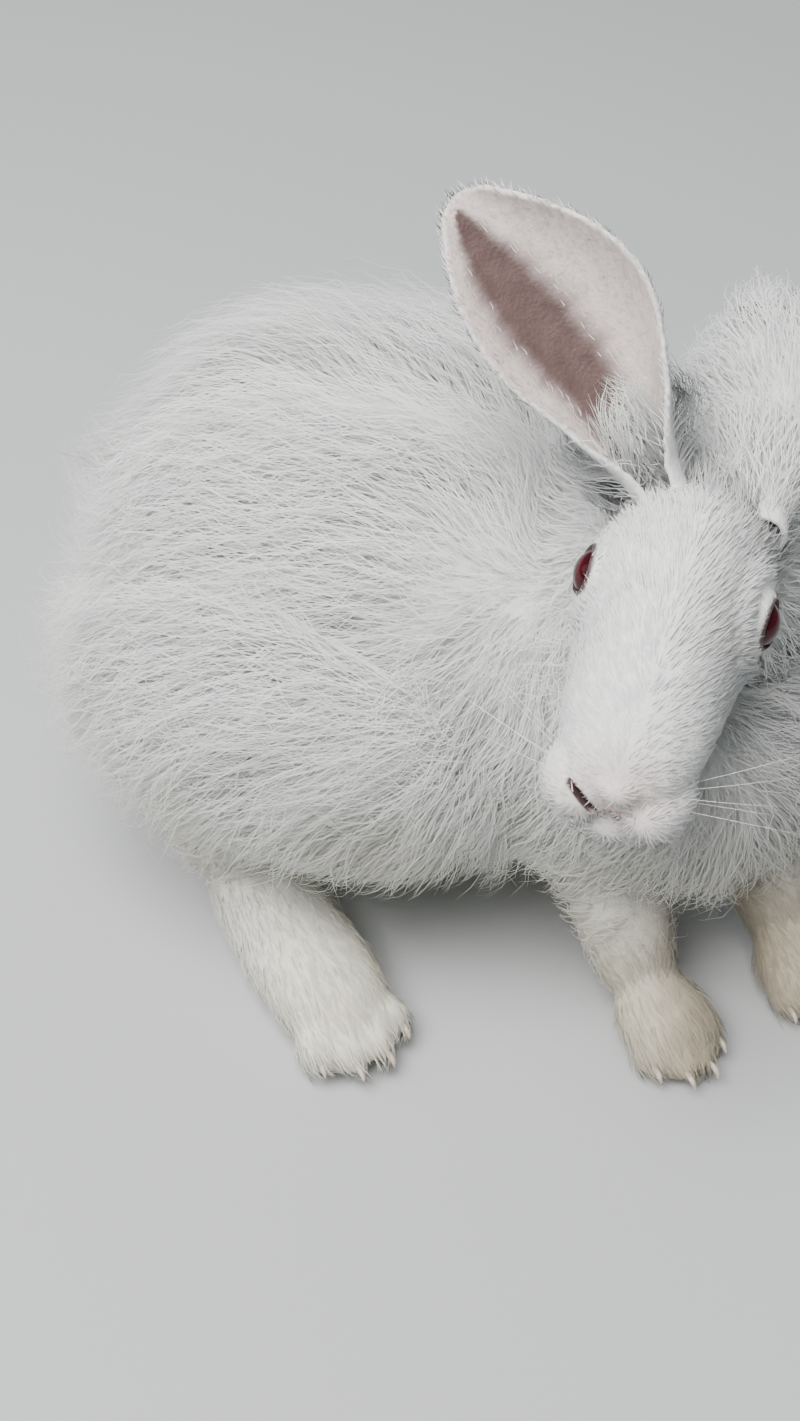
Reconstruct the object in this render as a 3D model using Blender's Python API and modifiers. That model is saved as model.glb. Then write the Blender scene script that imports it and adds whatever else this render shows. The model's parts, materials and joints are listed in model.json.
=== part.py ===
# Life-size still model of a crouching white angora rabbit.
# Metres, +X along the body towards the chest, +Y to the animal's left, +Z up.
# The body bends round to its right, so the chest and the head face the right-hand side.

import math
import random

import bmesh
import bpy
from mathutils import Matrix, Vector
from mathutils.bvhtree import BVHTree

UP = Vector((0, 0, 1))
GAP = 0.00025
CORE_GAP = 0.00045

# Driving sizes of the whole animal.
EYE_MIDDLE = Vector((0.0703, -0.028, 0.1706))
HEAD_TURN = math.radians(-79.6)
HEAD_DROP = math.radians(5)
HEAD_TILT = math.radians(-1.7)
EYE_SPACING = 0.0600
EYE_RADIUS = 0.0085
EAR_WIDTH = 0.052
WOOL_LIFT = 0.031
FLOOR_CLEARANCE = 0.004


def lerp(a, b, t):
    """Value or vector at the fraction t between a and b."""
    return a + (b - a) * t


def smooth_run(points, count):
    """Evenly numbered points on a smooth curve through the given ones."""
    padded = [points[0] * 2 - points[1], *points, points[-1] * 2 - points[-2]]
    run = []
    for step in range(count):
        place = step / (count - 1) * (len(points) - 1)
        k = min(int(place), len(points) - 2)
        t = place - k
        a, b, c, d = padded[k:k + 4]
        run.append(0.5 * (2 * b + (c - a) * t + (2 * a - 5 * b + 4 * c - d) * t ** 2
                          + (3 * b - a - 3 * c + d) * t ** 3))
    return run


def make_material(name, colour, roughness):
    """Principled material of one colour."""
    material = bpy.data.materials.new(name)
    material.use_nodes = True
    shader = material.node_tree.nodes["Principled BSDF"]
    shader.inputs["Base Color"].default_value = (*colour, 1)
    shader.inputs["Roughness"].default_value = roughness
    shader.inputs["Metallic"].default_value = 0
    return material


def new_object(name, bm, material, parent=None):
    """Object made from a bmesh, in the model's collection, with its faces pointing out."""
    if bm.calc_volume(signed=True) < 0:
        bmesh.ops.reverse_faces(bm, faces=bm.faces)
    bm.normal_update()
    mesh = bpy.data.meshes.new(name)
    bm.to_mesh(mesh)
    bm.free()
    mesh.materials.append(material)
    thing = bpy.data.objects.new(name, mesh)
    MODEL.objects.link(thing)
    thing.parent = parent
    return thing


def remove(thing):
    """Delete an object and its mesh."""
    mesh = thing.data
    bpy.data.objects.remove(thing)
    bpy.data.meshes.remove(mesh)


def bake(thing):
    """Replace an object's mesh by what its modifiers make of it."""
    bpy.context.view_layer.update()
    depsgraph = bpy.context.evaluated_depsgraph_get()
    old = thing.data
    new = bpy.data.meshes.new_from_object(thing.evaluated_get(depsgraph))
    thing.modifiers.clear()
    thing.data = new
    bpy.data.meshes.remove(old)


def surface_volume(faces):
    """Signed volume inside a set of faces."""
    total = 0.0
    for face in faces:
        first = face.verts[0].co
        for one, two in zip(face.verts[1:-1], face.verts[2:]):
            total += first.dot(one.co.cross(two.co)) / 6
    return total


def keep_largest(thing):
    """Keep only the largest closed surface of an object."""
    bm = bmesh.new()
    bm.from_mesh(thing.data)
    left = set(bm.faces)
    surfaces = []
    while left:
        queue = [left.pop()]
        group = list(queue)
        while queue:
            for edge in queue.pop().edges:
                for face in edge.link_faces:
                    if face in left:
                        left.remove(face)
                        queue.append(face)
                        group.append(face)
        surfaces.append(group)
    surfaces.sort(key=surface_volume)
    scraps = [face for group in surfaces[:-1] for face in group]
    bmesh.ops.delete(bm, geom=scraps, context="FACES")
    bm.to_mesh(thing.data)
    bm.free()


def triangulate(thing):
    """Split the faces into triangles, so that bent ones are read alike everywhere."""
    bm = bmesh.new()
    bm.from_mesh(thing.data)
    bmesh.ops.triangulate(bm, faces=bm.faces)
    bm.to_mesh(thing.data)
    bm.free()


def combine(thing, others, operation, scraps=False):
    """Boolean union or difference of an object with a collection of closed pieces.

    Only the largest closed surface is kept, unless loose scraps may stay for a later union.
    The manifold solver suits so many thin locks, which all cross each other at their roots.
    """
    for piece in (thing, *others):
        triangulate(piece)
    group = bpy.data.collections.new(thing.name + "_pieces")
    bpy.context.scene.collection.children.link(group)
    for other in others:
        group.objects.link(other)
    boolean = thing.modifiers.new("combine", "BOOLEAN")
    boolean.operation = operation
    boolean.operand_type = "COLLECTION"
    boolean.collection = group
    boolean.solver = "MANIFOLD"
    bake(thing)
    for other in others:
        remove(other)
    bpy.data.collections.remove(group)
    if not scraps:
        keep_largest(thing)


def swollen(thing, amount=GAP):
    """Copy of an object with every face moved out by the gap that neighbours keep."""
    bm = bmesh.new()
    bm.from_mesh(thing.data)
    bmesh.ops.triangulate(bm, faces=bm.faces)
    bm.normal_update()
    shifts = [vert.normal * amount * min(vert.calc_shell_factor(), 2.0) for vert in bm.verts]
    for vert, shift in zip(bm.verts, shifts):
        vert.co += shift
    return new_object(thing.name + "_swollen", bm, thing.data.materials[0], thing.parent)


def loft(name, material, spine, across, over, under=None, sides=8, ups=None, levels=0, parent=None):
    """Closed form round a spine: a loft between oval sections that differ.

    The first and the last point of the spine are its ends; each section is an oval,
    across to the sides and over or under along the section's own up direction.
    """
    under = under or over
    ups = ups or [UP] * len(spine)
    frames = []
    for k in range(len(spine)):
        ahead = (spine[min(k + 1, len(spine) - 1)] - spine[max(k - 1, 0)]).normalized()
        side = ahead.cross(ups[k]).normalized()
        frames.append((side, side.cross(ahead)))
    corners = [spine[0]]
    for ring in range(1, len(spine) - 1):
        side, up = frames[ring]
        for k in range(sides):
            angle = math.pi / 2 + math.tau * k / sides
            rise = over[ring] if math.sin(angle) > 0 else under[ring]
            corners.append(spine[ring] + side * across[ring] * math.cos(angle)
                           + up * rise * math.sin(angle))
    corners.append(spine[-1])
    rings = [[1 + ring * sides + k % sides for k in range(sides + 1)]
             for ring in range(len(spine) - 2)]
    faces = [(0, rings[0][k], rings[0][k + 1]) for k in range(sides)]
    for near, far in zip(rings[:-1], rings[1:]):
        faces += [(near[k], far[k], far[k + 1], near[k + 1]) for k in range(sides)]
    faces += [(rings[-1][k + 1], rings[-1][k], len(corners) - 1) for k in range(sides)]
    mesh = bpy.data.meshes.new(name)
    mesh.from_pydata(corners, [], faces)
    mesh.materials.append(material)
    thing = bpy.data.objects.new(name, mesh)
    MODEL.objects.link(thing)
    thing.parent = parent
    if levels:
        subsurf = thing.modifiers.new("smooth", "SUBSURF")
        subsurf.levels = levels
        subsurf.render_levels = levels
        bake(thing)
    return thing


def oval(name, material, centre, radii, turn=(0, 0, 0), sides=10, parent=None):
    """Ellipsoid from a sphere, turned by angles in degrees."""
    bm = bmesh.new()
    bmesh.ops.create_uvsphere(bm, u_segments=sides, v_segments=max(6, sides * 2 // 3), radius=1)
    place = Matrix.Translation(centre)
    for axis, degrees in zip("XYZ", turn):
        place = place @ Matrix.Rotation(math.radians(degrees), 4, axis)
    place = place @ Matrix.Diagonal((*radii, 1))
    bmesh.ops.transform(bm, matrix=place, verts=bm.verts)
    return new_object(name, bm, material, parent)


def surface_of(thing):
    """Search tree over the outside of an object."""
    verts = [vert.co.copy() for vert in thing.data.vertices]
    return BVHTree.FromPolygons(verts, [tuple(face.vertices) for face in thing.data.polygons])


def scatter(thing, spacing, allowed, rng, tries=6000):
    """Root points spread over an object's surface, no two closer than the spacing."""
    mesh = thing.data
    mesh.calc_loop_triangles()
    corners = [[mesh.vertices[i].co for i in triangle.vertices] for triangle in mesh.loop_triangles]
    areas = [(b - a).cross(c - a).length for a, b, c in corners]
    roots = []
    for a, b, c in rng.choices(corners, weights=areas, k=tries):
        u, v = rng.random(), rng.random()
        if u + v > 1:
            u, v = 1 - u, 1 - v
        point = a + (b - a) * u + (c - a) * v
        facing = (b - a).cross(c - a).normalized()
        if not allowed(point, facing):
            continue
        if all((point - other).length > spacing for other in roots):
            roots.append(point)
    return roots


# A lock's width and thickness along its length, as shares of its largest.
LOCK_WIDTH = (0, 0.85, 1.0, 0.92, 0.58, 0)
LOCK_THICKNESS = (0, 1.0, 1.0, 0.85, 0.5, 0)
LOCK_RISE = (-0.40, 0.05, 0.60, 0.92, 1.04, 0.96)


def lock(name, tree, root, lie, size, rng):
    """One flat tapered lock that rises from the surface and lies along the coat."""
    length, width, thickness, lift = size
    length *= rng.uniform(0.82, 1.15)
    width *= rng.uniform(0.85, 1.15)
    swing = rng.uniform(-0.3, 0.3)
    curl = rng.uniform(-0.55, 0.55)
    lift *= rng.uniform(0.85, 1.1)
    point = root.copy()
    steps = len(LOCK_WIDTH)
    spine = []
    ups = []
    for k in range(steps):
        share = k / (steps - 1)
        near, facing, _, _ = tree.find_nearest(point)
        height = (point - near).dot(facing)
        want = lift * LOCK_RISE[k]
        if k < 2 or height < want:
            point = near + facing * want
        if point.z < FLOOR_CLEARANCE + thickness:
            point.z = FLOOR_CLEARANCE + thickness
        spine.append(point.copy())
        ups.append(facing.copy())
        ahead = lie(point, facing)
        ahead = Matrix.Rotation(swing + curl * share ** 2, 3, facing) @ ahead
        if k < 3:
            ahead = (ahead - facing * ahead.dot(facing)).normalized()
        point = point + ahead * length / (steps - 1)
    across = [width / 2 * share for share in LOCK_WIDTH]
    over = [thickness / 2 * share for share in LOCK_THICKNESS]
    return loft(name, WOOL, spine, across, over, sides=3, ups=ups, parent=RABBIT)


def coat(thing, spacing, size, lie, allowed, seed):
    """Locks spread over a form, ready to be fused with it."""
    rng = random.Random(seed)
    tree = surface_of(thing)
    return [lock(f"{thing.name}_lock_{count}", tree, root, lie, size, rng)
            for count, root in enumerate(scatter(thing, spacing, allowed, rng))]


def follow(direction, facing):
    """Direction laid on the surface."""
    laid = direction - facing * direction.dot(facing) * 0.8
    return laid.normalized()


# The model's scene: every object hangs from one empty, the head's from a second one.
for old_object in list(bpy.data.objects):
    bpy.data.objects.remove(old_object)
MODEL = bpy.data.collections.new("angora_rabbit")
bpy.context.scene.collection.children.link(MODEL)

WOOL = make_material("white_wool", (0.80, 0.81, 0.79), 0.9)
SHORT_FUR = make_material("short_white_fur", (0.84, 0.84, 0.82), 0.85)
EAR_SKIN = make_material("pink_ear", (0.72, 0.52, 0.49), 0.6)
RUBY = make_material("ruby_eye", (0.19, 0.01, 0.03), 0.08)
STAINED = make_material("stained_fur", (0.66, 0.60, 0.48), 0.9)

RABBIT = bpy.data.objects.new("rabbit", None)
HEAD_POSE = bpy.data.objects.new("head_pose", None)
for empty in (RABBIT, HEAD_POSE):
    MODEL.objects.link(empty)
HEAD_POSE.parent = RABBIT
HEAD_POSE.location = EYE_MIDDLE
HEAD_POSE.rotation_mode = "ZYX"
HEAD_POSE.rotation_euler = (HEAD_TILT, HEAD_DROP, HEAD_TURN)

# The line of the back in plan, from the rump to the chest, and the core's half sizes.
# Each row is x, y, z of the section's centre, then across, over and under.
TORSO_SECTIONS = (
    (-0.122, -0.006, 0.080, 0.000, 0.000, 0.000),
    (-0.111, -0.002, 0.083, 0.046, 0.046, 0.050),
    (-0.086, 0.010, 0.086, 0.072, 0.074, 0.066),
    (-0.054, 0.019, 0.086, 0.080, 0.080, 0.068),
    (-0.018, 0.026, 0.085, 0.078, 0.079, 0.067),
    (0.017, 0.028, 0.083, 0.071, 0.069, 0.065),
    (0.048, 0.022, 0.080, 0.063, 0.054, 0.062),
    (0.075, 0.010, 0.077, 0.052, 0.043, 0.055),
    (0.096, -0.006, 0.074, 0.030, 0.026, 0.036),
    (0.103, -0.014, 0.074, 0.000, 0.000, 0.000),
)


def body_heading(x):
    """Direction of the back at a place along the body, seen from above."""
    rows = TORSO_SECTIONS
    for first, second in zip(rows[:-1], rows[1:]):
        if x < second[0]:
            break
    return (Vector((second[0], second[1], 0)) - Vector((first[0], first[1], 0))).normalized()


def body_lie(point, facing):
    """The wool runs back along the body, down its sides and out over the rump."""
    back = -body_heading(point.x)
    side = Vector((facing.x, facing.y, 0))
    top = max(0.0, facing.z)
    low = 1 - min(1.0, max(0.0, (point.z - 0.03) / 0.10))
    direction = back * (0.55 + 0.4 * top) + side * 0.2 - UP * (0.55 * (1 - top) + 0.75 * low)
    return follow(direction, facing)


def make_torso():
    """Trunk with its wool."""
    rows = TORSO_SECTIONS
    return loft("torso", WOOL, [Vector(row[:3]) for row in rows], [row[3] for row in rows],
                [row[4] for row in rows], [row[5] for row in rows], sides=16, parent=RABBIT)


def make_haunch(side):
    """Thigh that bulges from the trunk, drawn up beside the belly."""
    name = "hindleg_right" if side < 0 else "hindleg_left"
    shift = Vector((0, 0.012, 0))
    spine = [Vector((x, side * y, z)) + shift for x, y, z in (
        (-0.112, 0.030, 0.056), (-0.099, 0.043, 0.060), (-0.074, 0.055, 0.066),
        (-0.044, 0.061, 0.067), (-0.012, 0.059, 0.060), (0.014, 0.053, 0.048),
        (0.026, 0.049, 0.040))]
    across = (0, 0.024, 0.036, 0.040, 0.035, 0.022, 0)
    over = (0, 0.030, 0.048, 0.054, 0.046, 0.028, 0)
    under = (0, 0.024, 0.038, 0.043, 0.038, 0.024, 0)
    return loft(name, WOOL, spine, across, over, under, sides=12, parent=RABBIT)


def make_hock(side):
    """Short furry shin that joins the thigh to the heel."""
    shift = Vector((0, 0.012, 0))
    spine = [Vector((x, side * y, z)) + shift for x, y, z in (
        (-0.036, 0.056, 0.070), (-0.046, 0.059, 0.058), (-0.056, 0.061, 0.044),
        (-0.062, 0.062, 0.030), (-0.064, 0.062, 0.018), (-0.064, 0.062, 0.008))]
    size = (0, 0.022, 0.025, 0.023, 0.019, 0)
    return loft("hock", WOOL, spine, size, size, sides=10, ups=[Vector((1, 0, 0))] * 6,
                parent=RABBIT)


def foot_spine(heel, toe, height, count):
    """Points along a foot, from heel to toe, at the middle of its depth."""
    return [lerp(Vector((*heel, height)), Vector((*toe, height)), k / (count - 1))
            for k in range(count)]


def make_foot(name, heel, toe, width, depth, material):
    """Long furry foot with four toes, its sole at the floor."""
    heel = Vector(heel)
    toe = Vector(toe)
    ahead = (toe - heel).normalized()
    side = Vector((-ahead.y, ahead.x))
    spine = foot_spine(heel, toe - ahead * 0.010, depth * 0.42, 7)
    across = [width / 2 * share for share in (0, 0.72, 0.90, 0.98, 1.08, 1.08, 0)]
    over = [depth * share for share in (0, 0.66, 0.70, 0.64, 0.56, 0.44, 0)]
    under = [depth * 0.5 * share for share in (0, 1, 1, 1, 1, 1, 0)]
    foot = loft(name, material, spine, across, over, under, sides=8, levels=1, parent=RABBIT)
    toes = []
    for number, place in enumerate((-0.36, -0.13, 0.13, 0.36)):
        reach = 0.030 - 0.032 * abs(place)
        root = toe - ahead * 0.030 + side * width * place * 0.9
        tip = toe - ahead * (0.030 - reach) + side * width * place * 1.15
        run = foot_spine(root, tip, depth * 0.27, 6)
        toes.append(loft(f"{name}_toe_{number}", material, run,
                         [width * 0.15 * share for share in (0, 0.8, 1, 1, 0.8, 0)],
                         [depth * 0.30 * share for share in (0, 0.8, 1, 1, 0.8, 0)],
                         sides=5, parent=RABBIT))
    return foot, toes


def level_sole(thing):
    """Cut a body off at the floor, which leaves a small flat under it."""
    bm = bmesh.new()
    bm.from_mesh(thing.data)
    cut = bmesh.ops.bisect_plane(bm, geom=[*bm.verts, *bm.edges, *bm.faces], dist=0.000001,
                                 plane_co=(0, 0, 0), plane_no=(0, 0, -1), clear_outer=True)
    edges = [item for item in cut["geom_cut"] if isinstance(item, bmesh.types.BMEdge)]
    bmesh.ops.holes_fill(bm, edges=edges)
    bm.normal_update()
    bmesh.ops.recalc_face_normals(bm, faces=bm.faces)
    bm.to_mesh(thing.data)
    bm.free()


def make_foreleg(side):
    """Foreleg that comes down under the chest, and its paw."""
    chest = Vector((math.cos(math.radians(-36)), math.sin(math.radians(-36)), 0))
    left = Vector((-chest.y, chest.x, 0))
    middle = Vector((0.121, -0.025, 0)) + left * 0.029 * side
    toe = middle + chest * 0.019 - left * side * 0.002
    heel = middle - chest * 0.030
    name = "foreleg_right" if side < 0 else "foreleg_left"
    spine = [heel - chest * 0.040 + UP * 0.072, heel - chest * 0.030 + UP * 0.054,
             heel - chest * 0.012 + UP * 0.036, heel + chest * 0.002 + UP * 0.020,
             heel + chest * 0.010 + UP * 0.010]
    size = (0, 0.016, 0.018, 0.017, 0.015, 0.013, 0)
    leg = loft(name, SHORT_FUR, smooth_run(spine, 7), size, size, sides=10, ups=[chest] * 7,
               parent=RABBIT)
    paw, toes = make_foot(name + "_paw", heel.xy, toe.xy, 0.033, 0.024, STAINED)
    combine(leg, [paw, *toes], "UNION")
    level_sole(leg)
    return leg


NECK_RUN = ((0.016, 0.030, 0.100), (0.028, 0.034, 0.112), (0.044, 0.034, 0.125),
            (0.058, 0.028, 0.138), (0.067, 0.014, 0.146), (0.070, 0.002, 0.151))


def make_neck():
    """Short neck from the shoulders up to the back of the head."""
    spine = smooth_run([Vector(point) for point in NECK_RUN], 8)
    across = (0, 0.042, 0.047, 0.047, 0.044, 0.039, 0.030, 0)
    return loft("neck", WOOL, spine, across, across, sides=12, parent=RABBIT)


def neck_lie(point, facing):
    """The ruff runs back over the shoulders and down over the chest."""
    middle = Vector((0.058, 0.016, 0.145))
    out = (point - middle).normalized()
    head = Vector((math.cos(HEAD_TURN), math.sin(HEAD_TURN), 0))
    direction = -head * 0.55 + out * 0.4 - UP * 0.55
    return follow(direction, facing)


# The head's own frame: origin between the eyes, +X to the nose, +Z to the brow.
# Each row is x, half width, top and bottom.
HEAD_SECTIONS = (
    (-0.050, 0.0000, 0.004, 0.004),
    (-0.043, 0.0200, 0.020, -0.024),
    (-0.028, 0.0285, 0.028, -0.040),
    (-0.010, 0.0288, 0.0290, -0.047),
    (0.007, 0.0268, 0.0245, -0.048),
    (0.023, 0.0250, 0.0150, -0.0465),
    (0.038, 0.0242, 0.0035, -0.0440),
    (0.050, 0.0205, -0.0080, -0.0405),
    (0.058, 0.0130, -0.0165, -0.0345),
    (0.0610, 0.0000, -0.0260, -0.0260),
)


def make_head():
    """Skull and muzzle in one smooth form, with lips, nose, lids and cheeks."""
    rows = HEAD_SECTIONS
    spine = [Vector((x, 0, (top + bottom) / 2)) for x, _, top, bottom in rows]
    across = [row[1] for row in rows]
    over = [(top - bottom) / 2 for _, _, top, bottom in rows]
    head = loft("head", SHORT_FUR, spine, across, over, sides=12, levels=1, parent=HEAD_POSE)
    pieces = [
        oval("chin", SHORT_FUR, (0.046, -0.002, -0.0415), (0.011, 0.0120, 0.0062),
             parent=HEAD_POSE),
        oval("nose", SHORT_FUR, (0.0585, 0, -0.0225), (0.0045, 0.0062, 0.0042),
             parent=HEAD_POSE),
    ]
    for side in (-1, 1):
        pieces.append(oval("pad", SHORT_FUR, (0.0485, side * 0.0118, -0.0300),
                           (0.0135, 0.0118, 0.0100), (0, 12, side * -14),
                           parent=HEAD_POSE))
        pieces.append(oval("lid", SHORT_FUR, (0, side * (EYE_SPACING / 2 - EYE_RADIUS), 0),
                           (0.0106, 0.0092, 0.0096), parent=HEAD_POSE))
    combine(head, pieces, "UNION")
    cutters = [mouth_cutter()]
    for side in (-1, 1):
        centre = Vector((0.0015, side * (EYE_SPACING / 2 - EYE_RADIUS), 0.0008))
        cutters.append(oval("opening", SHORT_FUR, centre + Vector((0.0006, side * 0.0085, 0.0014)),
                            (0.0082, 0.0085, 0.0066), (0, 14, 0), parent=HEAD_POSE))
        cutters.append(nostril_cutter(side))
    combine(head, cutters, "DIFFERENCE")
    return head


def mouth_cutter():
    """Thin bent wedge that cuts the line of the mouth."""
    line = [Vector(point) for point in (
        (0.034, 0.0230, -0.0375), (0.045, 0.0190, -0.0385), (0.0545, 0.0095, -0.0378),
        (0.0570, 0.0000, -0.0350), (0.0545, -0.0095, -0.0378), (0.045, -0.0190, -0.0385),
        (0.034, -0.0230, -0.0375))]
    spine = smooth_run(line, 13)
    ups = [UP] * 13
    across = [0.0030 * math.sin(math.pi * k / 12) ** 0.5 if 0 < k < 12 else 0 for k in range(13)]
    over = [0.0004 + 0.00006 * k for k in range(13)]
    return loft("mouth", SHORT_FUR, spine, across, over, sides=6, ups=ups, parent=HEAD_POSE)


def nostril_cutter(side):
    """Slanting slit of one nostril."""
    line = [Vector(point) for point in (
        (0.0605, side * 0.0004, -0.0290), (0.0605, side * 0.0014, -0.0268),
        (0.0592, side * 0.0040, -0.0248), (0.0560, side * 0.0075, -0.0235))]
    across = (0, 0.0016, 0.0024, 0.0026, 0.0022, 0.0014, 0)
    over = (0, 0.0005, 0.0007, 0.0008, 0.0007, 0.0005, 0)
    return loft("nostril", SHORT_FUR, smooth_run(line, 7), across, over, sides=6, ups=[UP] * 7,
                parent=HEAD_POSE)


def make_eye(side):
    """Eyeball, deep in its socket."""
    name = "eye_right" if side < 0 else "eye_left"
    return oval(name, RUBY, (0.0015, side * (EYE_SPACING / 2 - EYE_RADIUS), 0.0008),
                (EYE_RADIUS,) * 3, sides=12, parent=HEAD_POSE)


EAR_OUTLINE = (0.22, 0.32, 0.44, 0.54, 0.60, 0.62, 0.58, 0.49, 0.35, 0.16)
EAR_CURL = (150, 128, 104, 88, 78, 72, 66, 60, 54, 48)


def make_ear(name, base, tip, opening, bend):
    """Long cupped ear: a sheet curled into a tube at its root, with thickness."""
    rows = len(EAR_OUTLINE)
    columns = 9
    axis = (tip - base).normalized()
    facing = (opening - axis * opening.dot(axis)).normalized()
    side = axis.cross(facing)
    bm = bmesh.new()
    bmesh.ops.create_grid(bm, x_segments=columns - 1, y_segments=rows - 1, size=1)
    for vert in bm.verts:
        row = round((vert.co.y + 1) / 2 * (rows - 1))
        share = row / (rows - 1)
        half = EAR_OUTLINE[row] * EAR_WIDTH
        curl = math.radians(EAR_CURL[row])
        radius = half / min(curl, math.pi / 2)
        angle = vert.co.x * curl
        reach = (share ** 0.92) * (1 - 0.035 * vert.co.x ** 2 * share)
        vert.co = (base + axis * (tip - base).length * reach
                   + side * radius * math.sin(angle) + bend * math.sin(math.pi * share)
                   + facing * radius * (1 - math.cos(angle)))
    ear = new_object(name, bm, EAR_SKIN, RABBIT)
    wall = ear.modifiers.new("wall", "SOLIDIFY")
    wall.thickness = 0.0026
    wall.offset = 0
    bake(ear)
    return ear


def make_tail():
    """Short upturned tail."""
    spine = [Vector(point) for point in (
        (-0.098, -0.008, 0.058), (-0.107, -0.011, 0.060), (-0.116, -0.014, 0.063),
        (-0.124, -0.016, 0.067), (-0.131, -0.018, 0.072), (-0.135, -0.019, 0.077))]
    size = (0, 0.016, 0.020, 0.019, 0.013, 0)
    return loft("tail", WOOL, spine, size, size, sides=10, parent=RABBIT)


def tail_lie(point, facing):
    """The tail's wool runs out to its tip."""
    return follow(Vector((-0.75, -0.15, 0.15)), facing)


def torso_roots(point, facing):
    """Where the trunk's locks grow: not under the ruff, the haunches or the belly."""
    under_ruff = (point - Vector((0.060, 0.030, 0.125))).length < 0.036
    on_haunch = abs(point.y - 0.014) > 0.056 and point.z < 0.10 and -0.105 < point.x < 0.012
    return facing.z > -0.45 and point.z > 0.026 and not under_ruff and not on_haunch


def haunch_roots(point, facing):
    """The outer side of each thigh carries locks."""
    outside = (point.y - 0.012) * facing.y > 0 and abs(point.y - 0.012) > 0.060
    behind = point.x < -0.070
    return outside and facing.z > -0.45 and point.z > (0.052 if behind else 0.034)


def neck_roots(point, facing):
    """The ruff grows all round the neck, away from the face."""
    return (point - EYE_MIDDLE).length > 0.045 and point.z > 0.105 and facing.z > -0.6


def tail_roots(point, facing):
    """The free part of the tail."""
    return point.x < -0.121


def build():
    """Make every part, dress the woolly ones and part them from each other."""
    torso = make_torso()
    neck = make_neck()
    head = make_head()
    eyes = [make_eye(side) for side in (-1, 1)]
    combine(head, [swollen(eye) for eye in eyes], "DIFFERENCE")
    ears = [
        make_ear("ear_right", Vector((0.050, 0.000, 0.188)), Vector((-0.0227, 0.0085, 0.253)),
                 Vector((0.20, -0.83, 0.52)), Vector((0.0065, 0.0050, -0.0010))),
        make_ear("ear_left", Vector((0.078, 0.008, 0.184)), Vector((0.0500, 0.0950, 0.1930)),
                 Vector((0.45, 0.15, -0.85)), Vector((0, 0, 0.006)))]
    for ear in ears:
        combine(ear, [swollen(head)], "DIFFERENCE")
    haunches = [make_haunch(side) for side in (-1, 1)]
    hind_feet = (
        make_foot("foot_right", (-0.072, -0.046), (0.026, -0.107), 0.040, 0.030, SHORT_FUR),
        make_foot("foot_left", (-0.072, 0.074), (0.026, 0.130), 0.040, 0.030, SHORT_FUR))
    forelegs = [make_foreleg(side) for side in (-1, 1)]
    tail = make_tail()

    dressed = [
        (torso, 0.0230, (0.064, 0.030, 0.0090, WOOL_LIFT), body_lie, torso_roots),
        (haunches[0], 0.0235, (0.054, 0.027, 0.0085, 0.024), body_lie, haunch_roots),
        (haunches[1], 0.0235, (0.054, 0.027, 0.0085, 0.024), body_lie, haunch_roots),
        (neck, 0.0235, (0.054, 0.028, 0.0085, 0.026), neck_lie, neck_roots),
        (tail, 0.0180, (0.036, 0.020, 0.0070, 0.014), tail_lie, tail_roots)]
    locks = []
    for seed, (thing, spacing, size, lie, roots) in enumerate(dressed):
        locks.append(coat(thing, spacing, size, lie, roots, 11 + seed))

    hocks = [make_hock(side) for side in (-1, 1)]
    for haunch, hock, (foot, toes) in zip(haunches, hocks, hind_feet):
        combine(haunch, [hock, foot, *toes], "UNION")
        level_sole(haunch)
    for (thing, *_), pieces in zip(dressed[1:], locks[1:]):
        combine(thing, pieces, "UNION")
    wool, *others = locks[0]
    combine(wool, others, "UNION", scraps=True)
    neighbours = (*haunches, neck, tail, head, *ears, *forelegs)
    clear = [swollen(thing, amount) for thing in neighbours for amount in (0, GAP)]
    combine(wool, clear, "DIFFERENCE", scraps=True)

    bare = [swollen(torso, CORE_GAP) for _ in range(6)]
    for leg in forelegs:
        combine(leg, [bare.pop(), swollen(neck)], "DIFFERENCE")
    for haunch in haunches:
        clear = [swollen(thing) for thing in (tail, *forelegs)]
        combine(haunch, [bare.pop(), *clear], "DIFFERENCE")
    combine(tail, [bare.pop()], "DIFFERENCE")
    combine(neck, [bare.pop(), *(swollen(thing) for thing in (head, *ears))], "DIFFERENCE")
    combine(torso, [wool], "UNION")


def stand_on_floor():
    """Put the middle of the model's box over the origin, with its feet at z = 0."""
    bpy.context.view_layer.update()
    corners = [thing.matrix_world @ vert.co for thing in MODEL.objects if thing.type == "MESH"
               for vert in thing.data.vertices]
    low = Vector([min(corner[axis] for corner in corners) for axis in range(3)])
    high = Vector([max(corner[axis] for corner in corners) for axis in range(3)])
    RABBIT.location = (-(low.x + high.x) / 2, -(low.y + high.y) / 2, -low.z)


build()
stand_on_floor()
for thing in MODEL.objects:
    if thing.type == "MESH":
        thing.data.shade_smooth()
        thing.data.set_sharp_from_angle(angle=math.radians(50))
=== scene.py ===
# %% [markdown]
# # A crouching white angora rabbit
#
# An angora rabbit is a small body inside a very large coat. The body is modelled first, as
# one closed skin without seams, and the wool is then grown on it lock by lock. The packed
# model gives the frame: its box, the places of its nodes and the floor at z = 0.

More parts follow.
